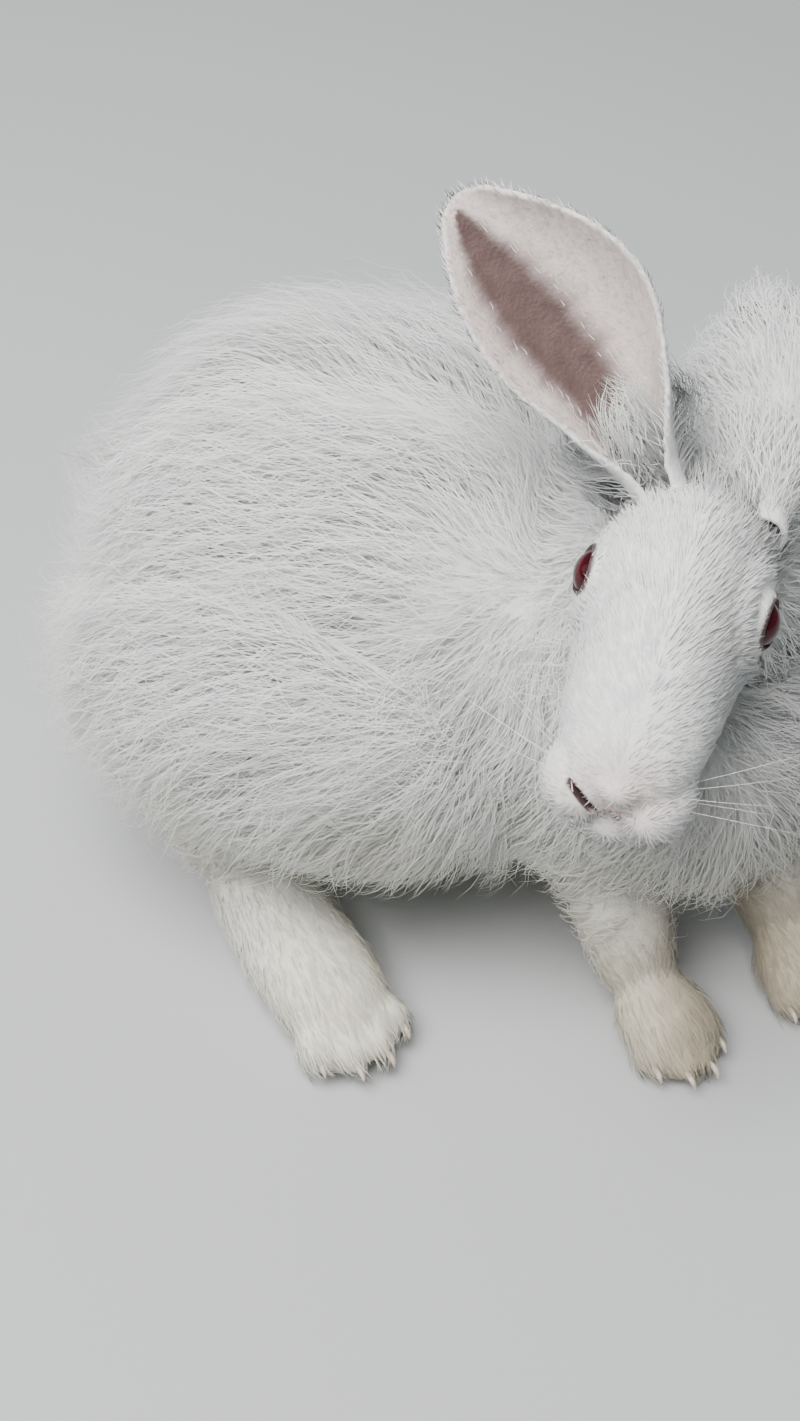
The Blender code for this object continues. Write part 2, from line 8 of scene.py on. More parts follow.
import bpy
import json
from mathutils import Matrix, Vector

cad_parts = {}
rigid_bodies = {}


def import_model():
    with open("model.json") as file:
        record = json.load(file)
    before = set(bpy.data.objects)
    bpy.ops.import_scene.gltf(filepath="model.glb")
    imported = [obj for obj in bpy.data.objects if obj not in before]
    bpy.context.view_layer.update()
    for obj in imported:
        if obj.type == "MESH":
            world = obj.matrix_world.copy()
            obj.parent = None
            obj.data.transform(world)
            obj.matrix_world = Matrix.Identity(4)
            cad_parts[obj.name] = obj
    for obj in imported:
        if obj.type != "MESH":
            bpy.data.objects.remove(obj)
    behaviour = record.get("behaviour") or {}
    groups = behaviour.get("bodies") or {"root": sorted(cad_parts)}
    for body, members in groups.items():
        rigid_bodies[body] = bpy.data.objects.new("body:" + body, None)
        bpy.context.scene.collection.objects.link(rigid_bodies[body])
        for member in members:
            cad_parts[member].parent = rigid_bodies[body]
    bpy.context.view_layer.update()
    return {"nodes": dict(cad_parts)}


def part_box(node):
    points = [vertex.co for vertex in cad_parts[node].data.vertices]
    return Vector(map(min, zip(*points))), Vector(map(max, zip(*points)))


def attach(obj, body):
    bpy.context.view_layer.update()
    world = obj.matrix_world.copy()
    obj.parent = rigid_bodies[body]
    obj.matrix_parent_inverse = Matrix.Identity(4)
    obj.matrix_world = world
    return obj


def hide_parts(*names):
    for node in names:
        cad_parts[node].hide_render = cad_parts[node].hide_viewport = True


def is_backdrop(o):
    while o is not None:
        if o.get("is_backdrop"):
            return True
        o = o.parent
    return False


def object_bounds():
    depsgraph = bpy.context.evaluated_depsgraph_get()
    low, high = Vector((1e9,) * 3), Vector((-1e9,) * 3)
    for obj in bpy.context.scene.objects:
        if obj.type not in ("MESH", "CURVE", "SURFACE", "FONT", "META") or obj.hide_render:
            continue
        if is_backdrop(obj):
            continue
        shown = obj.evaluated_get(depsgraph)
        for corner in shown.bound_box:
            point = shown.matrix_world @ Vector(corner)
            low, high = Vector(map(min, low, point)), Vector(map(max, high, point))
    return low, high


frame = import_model()
print("nodes:", sorted(frame["nodes"]))

# %% Modules and small helpers
import json
import math

import bmesh
import bpy
import numpy as np
from mathutils import Euler, Matrix, Vector
from mathutils.bvhtree import BVHTree
from mathutils.kdtree import KDTree

UP = Vector((0, 0, 1))
PHOTO_SIZE = (800, 1421)


def lerp(a, b, t):
    """Value or vector at the fraction t between a and b."""
    return a + (b - a) * t


def step(low, high, value):
    """Smooth rise from 0 to 1 as an array goes from low to high."""
    t = np.clip((value - low) / (high - low), 0, 1)
    return t * t * (3 - 2 * t)


def unit(rows):
    """Rows of vectors brought to length 1."""
    return rows / np.maximum(np.linalg.norm(rows, axis=-1, keepdims=True), 1e-9)


print("the photo's frame:", *PHOTO_SIZE)

# %% [markdown]
# ## Where the animal stands
#
# The solids were moved so that their box stands on the origin. The right eye's box tells how
# far, and every place below is then given in the animal's own frame: +X along the body to the
# chest, +Y to its left. The head has a frame of its own, with its origin between the eyes.

# %% Frame of the body and of the head
EYE_MIDDLE = Vector((0.0703, -0.028, 0.1706))
HEAD_POSE = Euler((math.radians(-1.7), math.radians(5), math.radians(-79.6)), "ZYX").to_matrix()
EYE_SPACING = 0.0600
EYE_RADIUS = 0.0085


def in_head(point):
    """Place in the animal's frame of a point given in the head's frame."""
    return EYE_MIDDLE + HEAD_POSE @ Vector(point)


def eye_centre(side):
    """Middle of an eyeball in the head's frame; side is -1 for the right."""
    return Vector((0.0015, side * (EYE_SPACING / 2 - EYE_RADIUS), 0.0008))


eye_low, eye_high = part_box("eye_right")
HOME = Vector((eye_low + eye_high) / 2) - in_head(eye_centre(-1))
print("the animal's frame lies at", [round(value, 4) for value in HOME])

# %% [markdown]
# ## Camera, floor and light
#
# The photo looks down on the animal at 43 degrees from its right front. The camera's distance
# follows from the space between the eyes, which is about 5.5 cm in a grown rabbit. The floor
# is plain and pale, and wide soft lamps stand in for daylight from a clouded sky.

# %% Camera
CAMERA_PLACE = Vector((0.1714, -0.4415, 0.51)) + HOME
CAMERA_HEADING = math.radians(114)
CAMERA_PITCH = math.radians(43)
CAMERA_ROLL = 0.07
FOCAL_PIXELS = 1900


def placed(name, data):
    """New object of the scene that shows a mesh, a lamp or a camera."""
    thing = bpy.data.objects.new(name, data)
    bpy.context.scene.collection.objects.link(thing)
    return thing


camera_data = bpy.data.cameras.new("camera")
camera_data.lens = camera_data.sensor_width * FOCAL_PIXELS / PHOTO_SIZE[1]
camera = placed("camera", camera_data)
ahead = Vector((math.cos(CAMERA_HEADING), math.sin(CAMERA_HEADING), 0))
look = ahead * math.cos(CAMERA_PITCH) - UP * math.sin(CAMERA_PITCH)
turn = look.to_track_quat("-Z", "Y").to_matrix() @ Matrix.Rotation(CAMERA_ROLL, 3, "Z")
camera.matrix_world = Matrix.Translation(CAMERA_PLACE) @ turn.to_4x4()
bpy.context.scene.camera = camera
print("camera at", [round(value, 3) for value in CAMERA_PLACE])

# %% Colours and nodes
def linear(hex_colour):
    """Linear RGBA of an sRGB hex value."""
    shares = [int(hex_colour[k:k + 2], 16) / 255 for k in (0, 2, 4)]
    return (*[c / 12.92 if c <= 0.04045 else ((c + 0.055) / 1.055) ** 2.4 for c in shares], 1)


def add(tree, kind, feeds=(), **settings):
    """Add a node with its settings, input values and links.

    A setting whose name is an input's name is that input's value; feeds are pairs of an
    input's name or number and the node, socket or value that feeds it.
    """
    node = tree.nodes.new(kind)
    for name, value in settings.items():
        words = name.replace("_", " ").strip()
        match = [s for s in node.inputs if s.name.lower() == words and not hasattr(node, name)]
        if match:
            match[0].default_value = value
        else:
            setattr(node, name, value)
    for place, source in feeds:
        if isinstance(source, bpy.types.Node):
            source = source.outputs[0]
        if isinstance(source, bpy.types.NodeSocket):
            tree.links.new(source, node.inputs[place])
        else:
            node.inputs[place].default_value = source
    return node


def new_material(name, values):
    """Material with its Principled shader, whose sockets get their values, and its node tree."""
    material = bpy.data.materials.new(name)
    material.use_nodes = True
    shader = material.node_tree.nodes["Principled BSDF"]
    for socket, value in values.items():
        shader.inputs[socket].default_value = value
    return material, material.node_tree, shader


print("half grey in linear light:", round(linear("808080")[0], 3))


# %% Floor and lamps
def mesh_from(bm, name):
    """Mesh with the faces of a bmesh, which is freed."""
    mesh = bpy.data.meshes.new(name)
    bm.to_mesh(mesh)
    bm.free()
    return mesh


def make_floor():
    """Wide pale floor, a matt painted board."""
    bm = bmesh.new()
    bmesh.ops.create_circle(bm, cap_ends=True, segments=64, radius=6)
    floor = placed("floor", mesh_from(bm, "floor"))
    look = {"Base Color": linear("B9BCBD"), "Roughness": 0.9}
    floor.data.materials.append(new_material("matt_painted_board", look)[0])
    floor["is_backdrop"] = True


def make_lamp(name, place, size, power, colour):
    """Square soft lamp that faces the animal."""
    data = bpy.data.lights.new(name, "AREA")
    data.shape = "SQUARE"
    data.size = size
    data.energy = power
    data.color = linear(colour)[:3]
    lamp = placed(name, data)
    lamp.location = place
    lamp.rotation_euler = (LIT_PLACE - lamp.location).to_track_quat("-Z", "Y").to_euler()


make_floor()
LIT_PLACE = Vector((0, 0, 0.1))
LAMPS = (
    ("key", (-0.25, -0.7, 1.6), 1.2, 64, "FFFDFA"),
    ("fill", (-1.4, -0.7, 1.0), 1.2, 6, "F2F6FA"),
    ("back", (-0.3, 1.5, 1.3), 1.0, 6, "EEF4FA"))
for lamp in LAMPS:
    make_lamp(*lamp)
world = bpy.data.worlds.new("clouded_sky")
world.use_nodes = True
sky = world.node_tree.nodes["Background"].inputs
sky["Color"].default_value = linear("C9CED2")
sky["Strength"].default_value = 0.32
bpy.context.scene.world = world
print(len(LAMPS), "lamps")

# %% Arrays from meshes
def read(items, name, width, kind=np.float32):
    """Values of a mesh's items as rows."""
    values = np.empty(len(items) * width, kind)
    items.foreach_get(name, values)
    return values.reshape(-1, width)


def far(points, centre):
    """Distance of each point from a centre."""
    return np.linalg.norm(points - np.array(centre), axis=-1)


def far_from_eyes(points):
    """Distance from the nearer eye of points given in the head's frame."""
    return np.minimum(*[far(points, eye_centre(side)) for side in (-1, 1)])


home = np.array(HOME)
skull = np.array(HEAD_POSE)
print("the head looks along", skull[:, 0].round(2).tolist())

# %% [markdown]
# ## The body under the wool
#
# A sculptor would pinch the trunk, thighs, neck and head out of balls of clay and smooth them
# into each other. Here each ball is a loft: oval sections on a spine, rounded by subdivision.
# A voxel remesh then melts the lofts of the body into one skin, which Blender's Boolean alone
# would leave with creases.

# %% Lofts
def smooth_run(points, count):
    """Points on a smooth curve through the given ones."""
    points = [Vector(point) for point in points]
    padded = [points[0] * 2 - points[1], *points, points[-1] * 2 - points[-2]]
    run = []
    for number in range(count):
        place = number / (count - 1) * (len(points) - 1)
        k = min(int(place), len(points) - 2)
        t = place - k
        a, b, c, d = padded[k:k + 4]
        run.append(0.5 * (2 * b + (c - a) * t + (2 * a - 5 * b + 4 * c - d) * t ** 2
                          + (3 * b - a - 3 * c + d) * t ** 3))
    return run


def plain_mesh(thing):
    """Mesh that an object's modifiers make; the object itself is removed."""
    bpy.context.view_layer.update()
    depsgraph = bpy.context.evaluated_depsgraph_get()
    mesh = bpy.data.meshes.new_from_object(thing.evaluated_get(depsgraph))
    old = thing.data
    bpy.data.objects.remove(thing)
    if old.users == 0:
        bpy.data.meshes.remove(old)
    return mesh


def loft(spine, across, over, under=None, top=UP, sides=12, levels=2, head=False):
    """Closed rounded form round a spine, between oval sections that differ."""
    spine = [Vector(point) for point in spine]
    under = under or over
    corners = [spine[0]]
    for ring in range(1, len(spine) - 1):
        forward = (spine[ring + 1] - spine[ring - 1]).normalized()
        side = forward.cross(top).normalized()
        up = side.cross(forward)
        for k in range(sides):
            angle = math.pi / 2 + math.tau * k / sides
            rise = over[ring] if math.sin(angle) > 0 else under[ring]
            corners.append(spine[ring] + side * across[ring] * math.cos(angle)
                           + up * rise * math.sin(angle))
    corners.append(spine[-1])
    if head:
        corners = [in_head(corner) for corner in corners]
    rings = [[1 + ring * sides + k % sides for k in range(sides + 1)]
             for ring in range(len(spine) - 2)]
    faces = [(0, rings[0][k], rings[0][k + 1]) for k in range(sides)]
    for near, after in zip(rings[:-1], rings[1:]):
        faces += [(near[k], after[k], after[k + 1], near[k + 1]) for k in range(sides)]
    faces += [(rings[-1][k + 1], rings[-1][k], len(corners) - 1) for k in range(sides)]
    mesh = bpy.data.meshes.new("form")
    mesh.from_pydata([corner + HOME for corner in corners], [], faces)
    thing = placed("form", mesh)
    thing.modifiers.new("smooth", "SUBSURF").levels = levels
    return plain_mesh(thing)


def oval(centre, radii, turn=(0, 0, 0)):
    """Ellipsoid in the head's frame, turned by angles in degrees."""
    bm = bmesh.new()
    bmesh.ops.create_icosphere(bm, subdivisions=4, radius=1)
    place = Matrix.Translation(EYE_MIDDLE + HOME) @ HEAD_POSE.to_4x4() @ Matrix.Translation(centre)
    for axis, degrees in zip("XYZ", turn):
        place = place @ Matrix.Rotation(math.radians(degrees), 4, axis)
    bmesh.ops.transform(bm, matrix=place @ Matrix.Diagonal((*radii, 1)), verts=bm.verts)
    return mesh_from(bm, "oval")


def joined(name, meshes):
    """Object that holds several meshes as one."""
    bm = bmesh.new()
    for mesh in meshes:
        bm.from_mesh(mesh)
        bpy.data.meshes.remove(mesh)
    return placed(name, mesh_from(bm, name))


bend = smooth_run(((0, 0, 0), (1, 0, 1), (2, 0, 0)), 5)
print("a quarter of the way along a bend:", [round(value, 3) for value in bend[1]])

# %% Measures of trunk and legs
# Each row is x, y, z of a section's centre on the line of the back, then across, over, under.
TORSO_SECTIONS = (
    (-0.122, -0.006, 0.080, 0.000, 0.000, 0.000),
    (-0.111, -0.002, 0.083, 0.046, 0.046, 0.050),
    (-0.086, 0.010, 0.086, 0.072, 0.074, 0.066),
    (-0.054, 0.019, 0.086, 0.080, 0.080, 0.068),
    (-0.018, 0.026, 0.085, 0.078, 0.079, 0.067),
    (0.017, 0.028, 0.083, 0.071, 0.069, 0.065),
    (0.048, 0.022, 0.080, 0.063, 0.054, 0.062),
    (0.075, 0.010, 0.077, 0.052, 0.043, 0.055),
    (0.096, -0.006, 0.074, 0.030, 0.026, 0.036),
    (0.103, -0.014, 0.074, 0.000, 0.000, 0.000))
NECK_RUN = ((0.016, 0.030, 0.100), (0.028, 0.034, 0.112), (0.044, 0.034, 0.125),
            (0.058, 0.028, 0.138), (0.067, 0.014, 0.146), (0.070, 0.002, 0.151))
TAIL_RUN = ((-0.098, -0.008, 0.058), (-0.107, -0.011, 0.060), (-0.116, -0.014, 0.063),
            (-0.124, -0.016, 0.067), (-0.131, -0.018, 0.072), (-0.135, -0.019, 0.077))
THIGH_RUN = ((-0.112, 0.030, 0.060), (-0.099, 0.042, 0.065), (-0.074, 0.051, 0.072),
             (-0.044, 0.054, 0.075), (-0.012, 0.052, 0.071), (0.014, 0.046, 0.060),
             (0.026, 0.042, 0.052))
HOCK_RUN = ((-0.036, 0.056, 0.070), (-0.046, 0.059, 0.058), (-0.056, 0.061, 0.044),
            (-0.062, 0.062, 0.030), (-0.064, 0.062, 0.018), (-0.064, 0.062, 0.008))
BODY_MIDDLE = Vector((0, 0.012, 0))
HIND_FEET = (((-0.072, -0.046), (0.026, -0.107)), ((-0.072, 0.074), (0.026, 0.130)))
HIND_FOOT_SIZE = (0.040, 0.030)
FRONT_FOOT_SIZE = (0.033, 0.024)
# Each toe's place across the foot, as a share of the foot's width.
TOE_PLACES = (-0.36, -0.13, 0.13, 0.36)
CHEST_HEADING = math.radians(-36)
CHEST = Vector((math.cos(CHEST_HEADING), math.sin(CHEST_HEADING), 0))
FORELEG_MIDDLE = Vector((0.121, -0.025, 0))
# The foreleg bends back from the paw: steps along the chest's heading and up, from the heel.
FORELEG_STEPS = ((-0.040, 0.072), (-0.030, 0.054), (-0.012, 0.036), (0.002, 0.020),
                 (0.010, 0.010))
print("the trunk is", round(TORSO_SECTIONS[-1][0] - TORSO_SECTIONS[0][0], 3), "m long")


# %% Feet, legs and trunk
def foreleg_points(side):
    """Heel and toe of a front paw."""
    left = Vector((-CHEST.y, CHEST.x, 0))
    middle = FORELEG_MIDDLE + left * 0.029 * side
    return middle - CHEST * 0.030, middle + CHEST * 0.019 - left * side * 0.002


def foot_frame(heel, toe):
    """Heel and toe on the floor, and the foot's directions forward and to its left."""
    heel, toe = (Vector((*point[:2], 0)) for point in (heel, toe))
    forward = (toe - heel).normalized()
    return heel, toe, forward, Vector((-forward.y, forward.x, 0))


def toe_ends(toe, forward, side, width, place):
    """Root and tip of one toe."""
    reach = 0.030 - 0.032 * abs(place)
    return (toe - forward * 0.030 + side * width * place * 0.9,
            toe - forward * (0.030 - reach) + side * width * place * 1.1)


def foot_forms(heel, toe, size):
    """Foot with its toes."""
    width, depth = size
    heel, toe, forward, side = foot_frame(heel, toe)
    lift = UP * depth * 0.42
    spine = [lerp(heel, toe - forward * 0.010, k / 6) + lift for k in range(7)]
    forms = [loft(spine, [width / 2 * share for share in (0, 0.72, 0.90, 0.98, 1.04, 1.0, 0)],
                  [depth * share for share in (0, 0.66, 0.70, 0.64, 0.56, 0.44, 0)],
                  [depth * 0.4 * share for share in (0, 1, 1, 1, 1, 1, 0)])]
    for place in TOE_PLACES:
        root, tip = toe_ends(toe, forward, side, width, place)
        rise = UP * depth * 0.30
        spine = [lerp(root, tip, k / 5) + rise for k in range(6)]
        across, over = ([reach * share for share in (0, 0.8, 1, 1, 0.8, 0)]
                        for reach in (width * 0.16, depth * 0.30))
        forms.append(loft(spine, across, over, sides=8))
    return forms


def leg_forms():
    """Thighs, hocks, hind feet, forelegs and front paws."""
    forms = []
    for side, hind_foot in zip((-1, 1), HIND_FEET):
        thigh, hock = ([Vector((x, side * y, z)) + BODY_MIDDLE for x, y, z in run]
                       for run in (THIGH_RUN, HOCK_RUN))
        forms.append(loft(thigh, (0, 0.024, 0.036, 0.040, 0.035, 0.022, 0),
                          (0, 0.030, 0.048, 0.054, 0.046, 0.028, 0),
                          (0, 0.024, 0.036, 0.040, 0.034, 0.022, 0)))
        size = (0, 0.022, 0.025, 0.023, 0.019, 0)
        forms.append(loft(hock, size, size, top=Vector((1, 0, 0))))
        forms += foot_forms(*hind_foot, HIND_FOOT_SIZE)
        heel, toe = foreleg_points(side)
        run = smooth_run([heel + CHEST * ahead + UP * rise for ahead, rise in FORELEG_STEPS], 7)
        size = (0, 0.016, 0.018, 0.017, 0.015, 0.013, 0)
        forms.append(loft(run, size, size, top=CHEST))
        forms += foot_forms(heel, toe, FRONT_FOOT_SIZE)
    return forms


def trunk_forms():
    """Trunk, neck and tail."""
    x, y, z, *sizes = zip(*TORSO_SECTIONS)
    neck = (0, 0.042, 0.047, 0.047, 0.044, 0.039, 0.030, 0)
    tail = (0, 0.016, 0.020, 0.019, 0.013, 0)
    return [loft(list(zip(x, y, z)), *sizes, sides=16),
            loft(smooth_run(NECK_RUN, 8), neck, neck), loft(TAIL_RUN, tail, tail)]


print("from heel to toe of a front paw:",
      round((foreleg_points(1)[1] - foreleg_points(1)[0]).length, 3), "m")


# %% [markdown]
# ## Head and ears
#
# The skull and muzzle are one loft, and lips, chin, nose and lids are small ovals sunk into
# it. They are remeshed on a much finer grid than the body, because a lid is only a millimetre
# thick. Eye openings, nostrils and the line of the mouth are cut afterwards, so that they stay
# crisp. An ear is a sheet that is rolled into a tube at its root and opens towards its tip.

# %% Head
# Each row is x, half width, top and bottom in the head's frame, from the nape to the nose.
HEAD_SECTIONS = (
    (-0.050, 0.0000, 0.004, 0.004),
    (-0.043, 0.0200, 0.020, -0.024),
    (-0.028, 0.0285, 0.028, -0.040),
    (-0.010, 0.0288, 0.0290, -0.047),
    (0.007, 0.0268, 0.0245, -0.048),
    (0.023, 0.0250, 0.0150, -0.0465),
    (0.038, 0.0242, 0.0035, -0.0440),
    (0.050, 0.0205, -0.0080, -0.0405),
    (0.058, 0.0130, -0.0165, -0.0345),
    (0.0610, 0.0000, -0.0260, -0.0260))


def head_forms():
    """Skull, muzzle, chin, nose, whisker pads and the swellings of the lids."""
    rows = HEAD_SECTIONS
    forms = [
        loft([(x, 0, (top + low) / 2) for x, _, top, low in rows], [row[1] for row in rows],
             [(top - low) / 2 for _, _, top, low in rows], sides=16, head=True),
        oval((0.046, 0, -0.0415), (0.011, 0.0120, 0.0062)),
        oval((0.0585, 0, -0.0225), (0.0045, 0.0062, 0.0042))]
    for side in (-1, 1):
        forms.append(oval((0.0485, side * 0.0118, -0.0300), (0.0135, 0.0118, 0.0100),
                          (0, 12, side * -14)))
        forms.append(oval((0.0005, side * (EYE_SPACING / 2 - EYE_RADIUS), 0.0003),
                          (0.0106, 0.0092, 0.0096)))
    return forms


def mouth_cutter():
    """Thin bent wedge that cuts the line of the mouth."""
    left = ((0.034, 0.0230, -0.0375), (0.045, 0.0190, -0.0385), (0.0545, 0.0095, -0.0378))
    line = (*left, (0.0570, 0, -0.0350), *[(x, -y, z) for x, y, z in left[::-1]])
    across = [0.0032 * math.sin(math.pi * k / 12) ** 0.5 if 0 < k < 12 else 0 for k in range(13)]
    over = [0.0005 + 0.00007 * k for k in range(13)]
    return loft(smooth_run(line, 13), across, over, levels=1, head=True)


# The slit of the right nostril runs on into the fold over the lip, from the middle outwards.
SLIT = ((0.0578, 0.0004, -0.0362), (0.0597, -0.0030, -0.0335), (0.0604, -0.0058, -0.0305),
        (0.0604, -0.0099, -0.0268), (0.0588, -0.0131, -0.0248))
# The opening between the lids: its shift from the eye's middle, half sizes and turn in degrees.
OPENING_SHIFT = (0.0006, 0.0085, 0.0014)
OPENING_SIZE = (0.0082, 0.0085, 0.0066)
OPENING_TURN = 14


def nostril_cutter(side):
    """Slanting slit of one nostril; the left one is short and half closed."""
    if side < 0:
        return loft(smooth_run(SLIT, 9), (0, *[0.0028] * 7, 0),
                    (0, 0.0007, *[0.0010] * 5, 0.0006, 0), levels=1, head=True)
    line = ((0.0608, 0.0003, -0.0330), (0.0607, 0.0022, -0.0318),
            (0.0598, 0.0046, -0.0302), (0.0580, 0.0078, -0.0290))
    return loft(smooth_run(line, 7), (0, 0.0018, 0.0026, 0.0026, 0.0022, 0.0014, 0),
                (0, 0.0005, 0.0008, 0.0008, 0.0007, 0.0005, 0), levels=1, head=True)


def eye_opening(side):
    """Almond between the lids, a little larger than what shows of the eye."""
    along, across, up = OPENING_SHIFT
    return oval(eye_centre(side) + Vector((along, side * across, up)), OPENING_SIZE,
                (0, OPENING_TURN, 0))


print("the head is", round(HEAD_SECTIONS[-1][0] - HEAD_SECTIONS[0][0], 3), "m long")

# %% Ears
EAR_WIDTH = 0.052
EAR_THICKNESS = 0.0019
# Half widths as shares of the ear's width, and half angles of its cup, from base to tip.
EAR_OUTLINE = (0.22, 0.32, 0.44, 0.54, 0.60, 0.62, 0.58, 0.49, 0.35, 0.16)
EAR_CURL = (150, 128, 104, 88, 78, 72, 66, 60, 54, 48)
# The ear goes on below its base for this share of its length, inside the head.
EAR_ROOT = 0.06
# Each ear's base, tip, the way it opens, and how far its middle bends aside.
EARS = {
    "right": (Vector((0.050, 0.000, 0.188)), Vector((-0.0227, 0.0085, 0.253)),
              Vector((0.20, -0.83, 0.52)), Vector((0.0065, 0.0050, -0.0010))),
    "left": (Vector((0.078, 0.008, 0.184)), Vector((0.0500, 0.0950, 0.1930)),
             Vector((0.45, 0.15, -0.85)), Vector((0, 0, 0.006)))}


def ear_frame(name):
    """Axis, opening and side directions of an ear."""
    base, tip, opening, _ = EARS[name]
    axis = (tip - base).normalized()
    facing = (opening - axis * opening.dot(axis)).normalized()
    return axis, facing, axis.cross(facing)


def along_ear(share, values):
    """Value at a share of an ear's length, from values spread evenly over it."""
    return float(np.interp(share, np.linspace(0, 1, len(values)), values))


def ear_point(name, share, across):
    """Place on the ear's middle sheet: share from base to tip, across from -1 to 1."""
    base, tip, _, bend = EARS[name]
    axis, facing, side = ear_frame(name)
    curl = math.radians(along_ear(share, EAR_CURL))
    radius = along_ear(share, EAR_OUTLINE) * EAR_WIDTH / min(curl, math.pi / 2)
    angle = across * curl
    reach = math.copysign(abs(share) ** 0.92, share) * (1 - 0.035 * across ** 2 * share)
    return (base + axis * (tip - base).length * reach + side * radius * math.sin(angle)
            + bend * math.sin(math.pi * share) + facing * radius * (1 - math.cos(angle)))


def ear_form(name, rows=28, columns=25):
    """Cupped ear with its thickness, from its root inside the head to its tip."""
    corners = [ear_point(name, lerp(-EAR_ROOT, 1, row / (rows - 1)), column / (columns - 1) * 2 - 1)
               + HOME
               for row in range(rows) for column in range(columns)]
    faces = [(row * columns + column, row * columns + column + 1,
              (row + 1) * columns + column + 1, (row + 1) * columns + column)
             for row in range(rows - 1) for column in range(columns - 1)]
    mesh = bpy.data.meshes.new("ear")
    mesh.from_pydata(corners, [], faces)
    thing = placed("ear", mesh)
    wall = thing.modifiers.new("wall", "SOLIDIFY")
    wall.thickness = EAR_THICKNESS
    wall.offset = 0
    return plain_mesh(thing)


for name, (base, tip, *_) in EARS.items():
    print(name, "ear:", round((tip - base).length, 3), "m long")

# %% Melt the forms into one skin
BODY_VOXEL = 0.0030
HEAD_VOXEL = 0.0010
SKULL_FUR_DEPTH = 0.0024


def melted(name, forms, voxel, rounds):
    """One closed surface round overlapping forms."""
    thing = joined(name, forms)
    remesh = thing.modifiers.new("melt", "REMESH")
    remesh.mode = "VOXEL"
    remesh.voxel_size = voxel
    relax = thing.modifiers.new("relax", "SMOOTH")
    relax.factor = 0.5
    relax.iterations = rounds
    return bpy.data.objects.new(name, plain_mesh(thing))


def combine(thing, meshes, operation):
    """Boolean of an object with closed meshes, applied."""
    group = bpy.data.collections.new("others")
    bpy.context.scene.collection.children.link(group)
    bpy.context.scene.collection.objects.link(thing)
    for mesh in meshes:
        group.objects.link(bpy.data.objects.new("other", mesh))
    boolean = thing.modifiers.new("combine", "BOOLEAN")
    boolean.operation = operation
    boolean.operand_type = "COLLECTION"
    boolean.collection = group
    boolean.solver = "MANIFOLD"
    result = plain_mesh(thing)
    for other in list(group.objects):
        bpy.data.objects.remove(other)
    bpy.data.collections.remove(group)
    for mesh in meshes:
        bpy.data.meshes.remove(mesh)
    return bpy.data.objects.new("joined", result)


def sink(mesh):
    """Move the skull's skin in by the depth of its short fur, away from eyes, nose and lips."""
    places = read(mesh.vertices, "co", 3)
    in_skull = (places - np.array(EYE_MIDDLE + HOME)) @ skull
    depth = (SKULL_FUR_DEPTH * step(0.0125, 0.0200, far_from_eyes(in_skull))
             * step(0.0120, 0.0260, far(in_skull, (0.058, 0, -0.030))))
    places -= read(mesh.vertices, "normal", 3) * depth[:, None]
    mesh.vertices.foreach_set("co", places.ravel())


body = melted("body", trunk_forms() + leg_forms(), BODY_VOXEL, 6)
head = melted("head", head_forms(), HEAD_VOXEL, 5)
ears = melted("ears", [ear_form(name) for name in EARS], HEAD_VOXEL, 4)
sink(head.data)
shapes = [(thing.data, read(thing.data.vertices, "co", 3)) for thing in (body, head, ears)]
guides = [BVHTree.FromPolygons(points.tolist(), [tuple(face.vertices) for face in mesh.polygons])
          for mesh, points in shapes]
head = combine(head, [ears.data], "UNION")
cutters = [mouth_cutter()]
for side in (-1, 1):
    cutters += [nostril_cutter(side), eye_opening(side)]
head = combine(head, cutters, "DIFFERENCE")
skin = combine(head, [body.data], "UNION")
skin.name = "skin"
bpy.context.scene.collection.objects.link(skin)
print("skin faces:", len(skin.data.polygons))

# %% [markdown]
# ## Unwrap the skin
#
# The skin needs a flat map, so that its colours can be baked for other programs. Blender's own
# projection cuts it into patches along its bends. Each strand later takes a tiny patch of this
# map at its root, which keeps its colour the skin's colour there.

# %% Unwrap
BAKE_MAP = "OFBake"
bpy.context.view_layer.objects.active = skin
skin.select_set(True)
skin.data.uv_layers.new(name=BAKE_MAP)
bpy.ops.object.mode_set(mode="EDIT")
bpy.ops.mesh.select_all(action="SELECT")
bpy.ops.uv.smart_project(angle_limit=math.radians(66), island_margin=0.002)
bpy.ops.object.mode_set(mode="OBJECT")
skin.select_set(False)
skin.data.shade_smooth()
print("unwrapped", len(skin.data.vertices), "points")

# %% [markdown]
# ## The skin as arrays
#
# Thousands of hairs are placed at once, so the skin's points are read into number tables. Each
# point is told which part of the animal it lies on. An ear's points also learn where on the
# ear's sheet they lie and whether they face into the cup.

# %% Distances and search
def far_from_line(points, start, end):
    """Distance of each point from a line between two points, both taken in plan."""
    start, end = np.array(start[:2]), np.array(end[:2])
    run = end - start
    share = np.clip((points[..., :2] - start) @ run / (run @ run), 0, 1)
    return np.linalg.norm(points[..., :2] - start - share[..., None] * run, axis=-1)


def far_from_paws(points):
    """Distance of each point from the nearer front paw, in plan."""
    return np.minimum(*[far_from_line(points, *foreleg_points(side)) for side in (-1, 1)])


def dot(a, b):
    """Scalar product of each row with its partner."""
    return (a * b).sum(axis=1)


def search_tree(rows, numbers):
    """Tree that finds the nearest of some rows of places by its number."""
    tree = KDTree(len(rows))
    for number, place in zip(numbers, rows.tolist()):
        tree.insert(place, number)
    tree.balance()
    return tree


print("nearer front paw from the origin:", round(float(far_from_paws(-home[None])[0]), 3), "m")

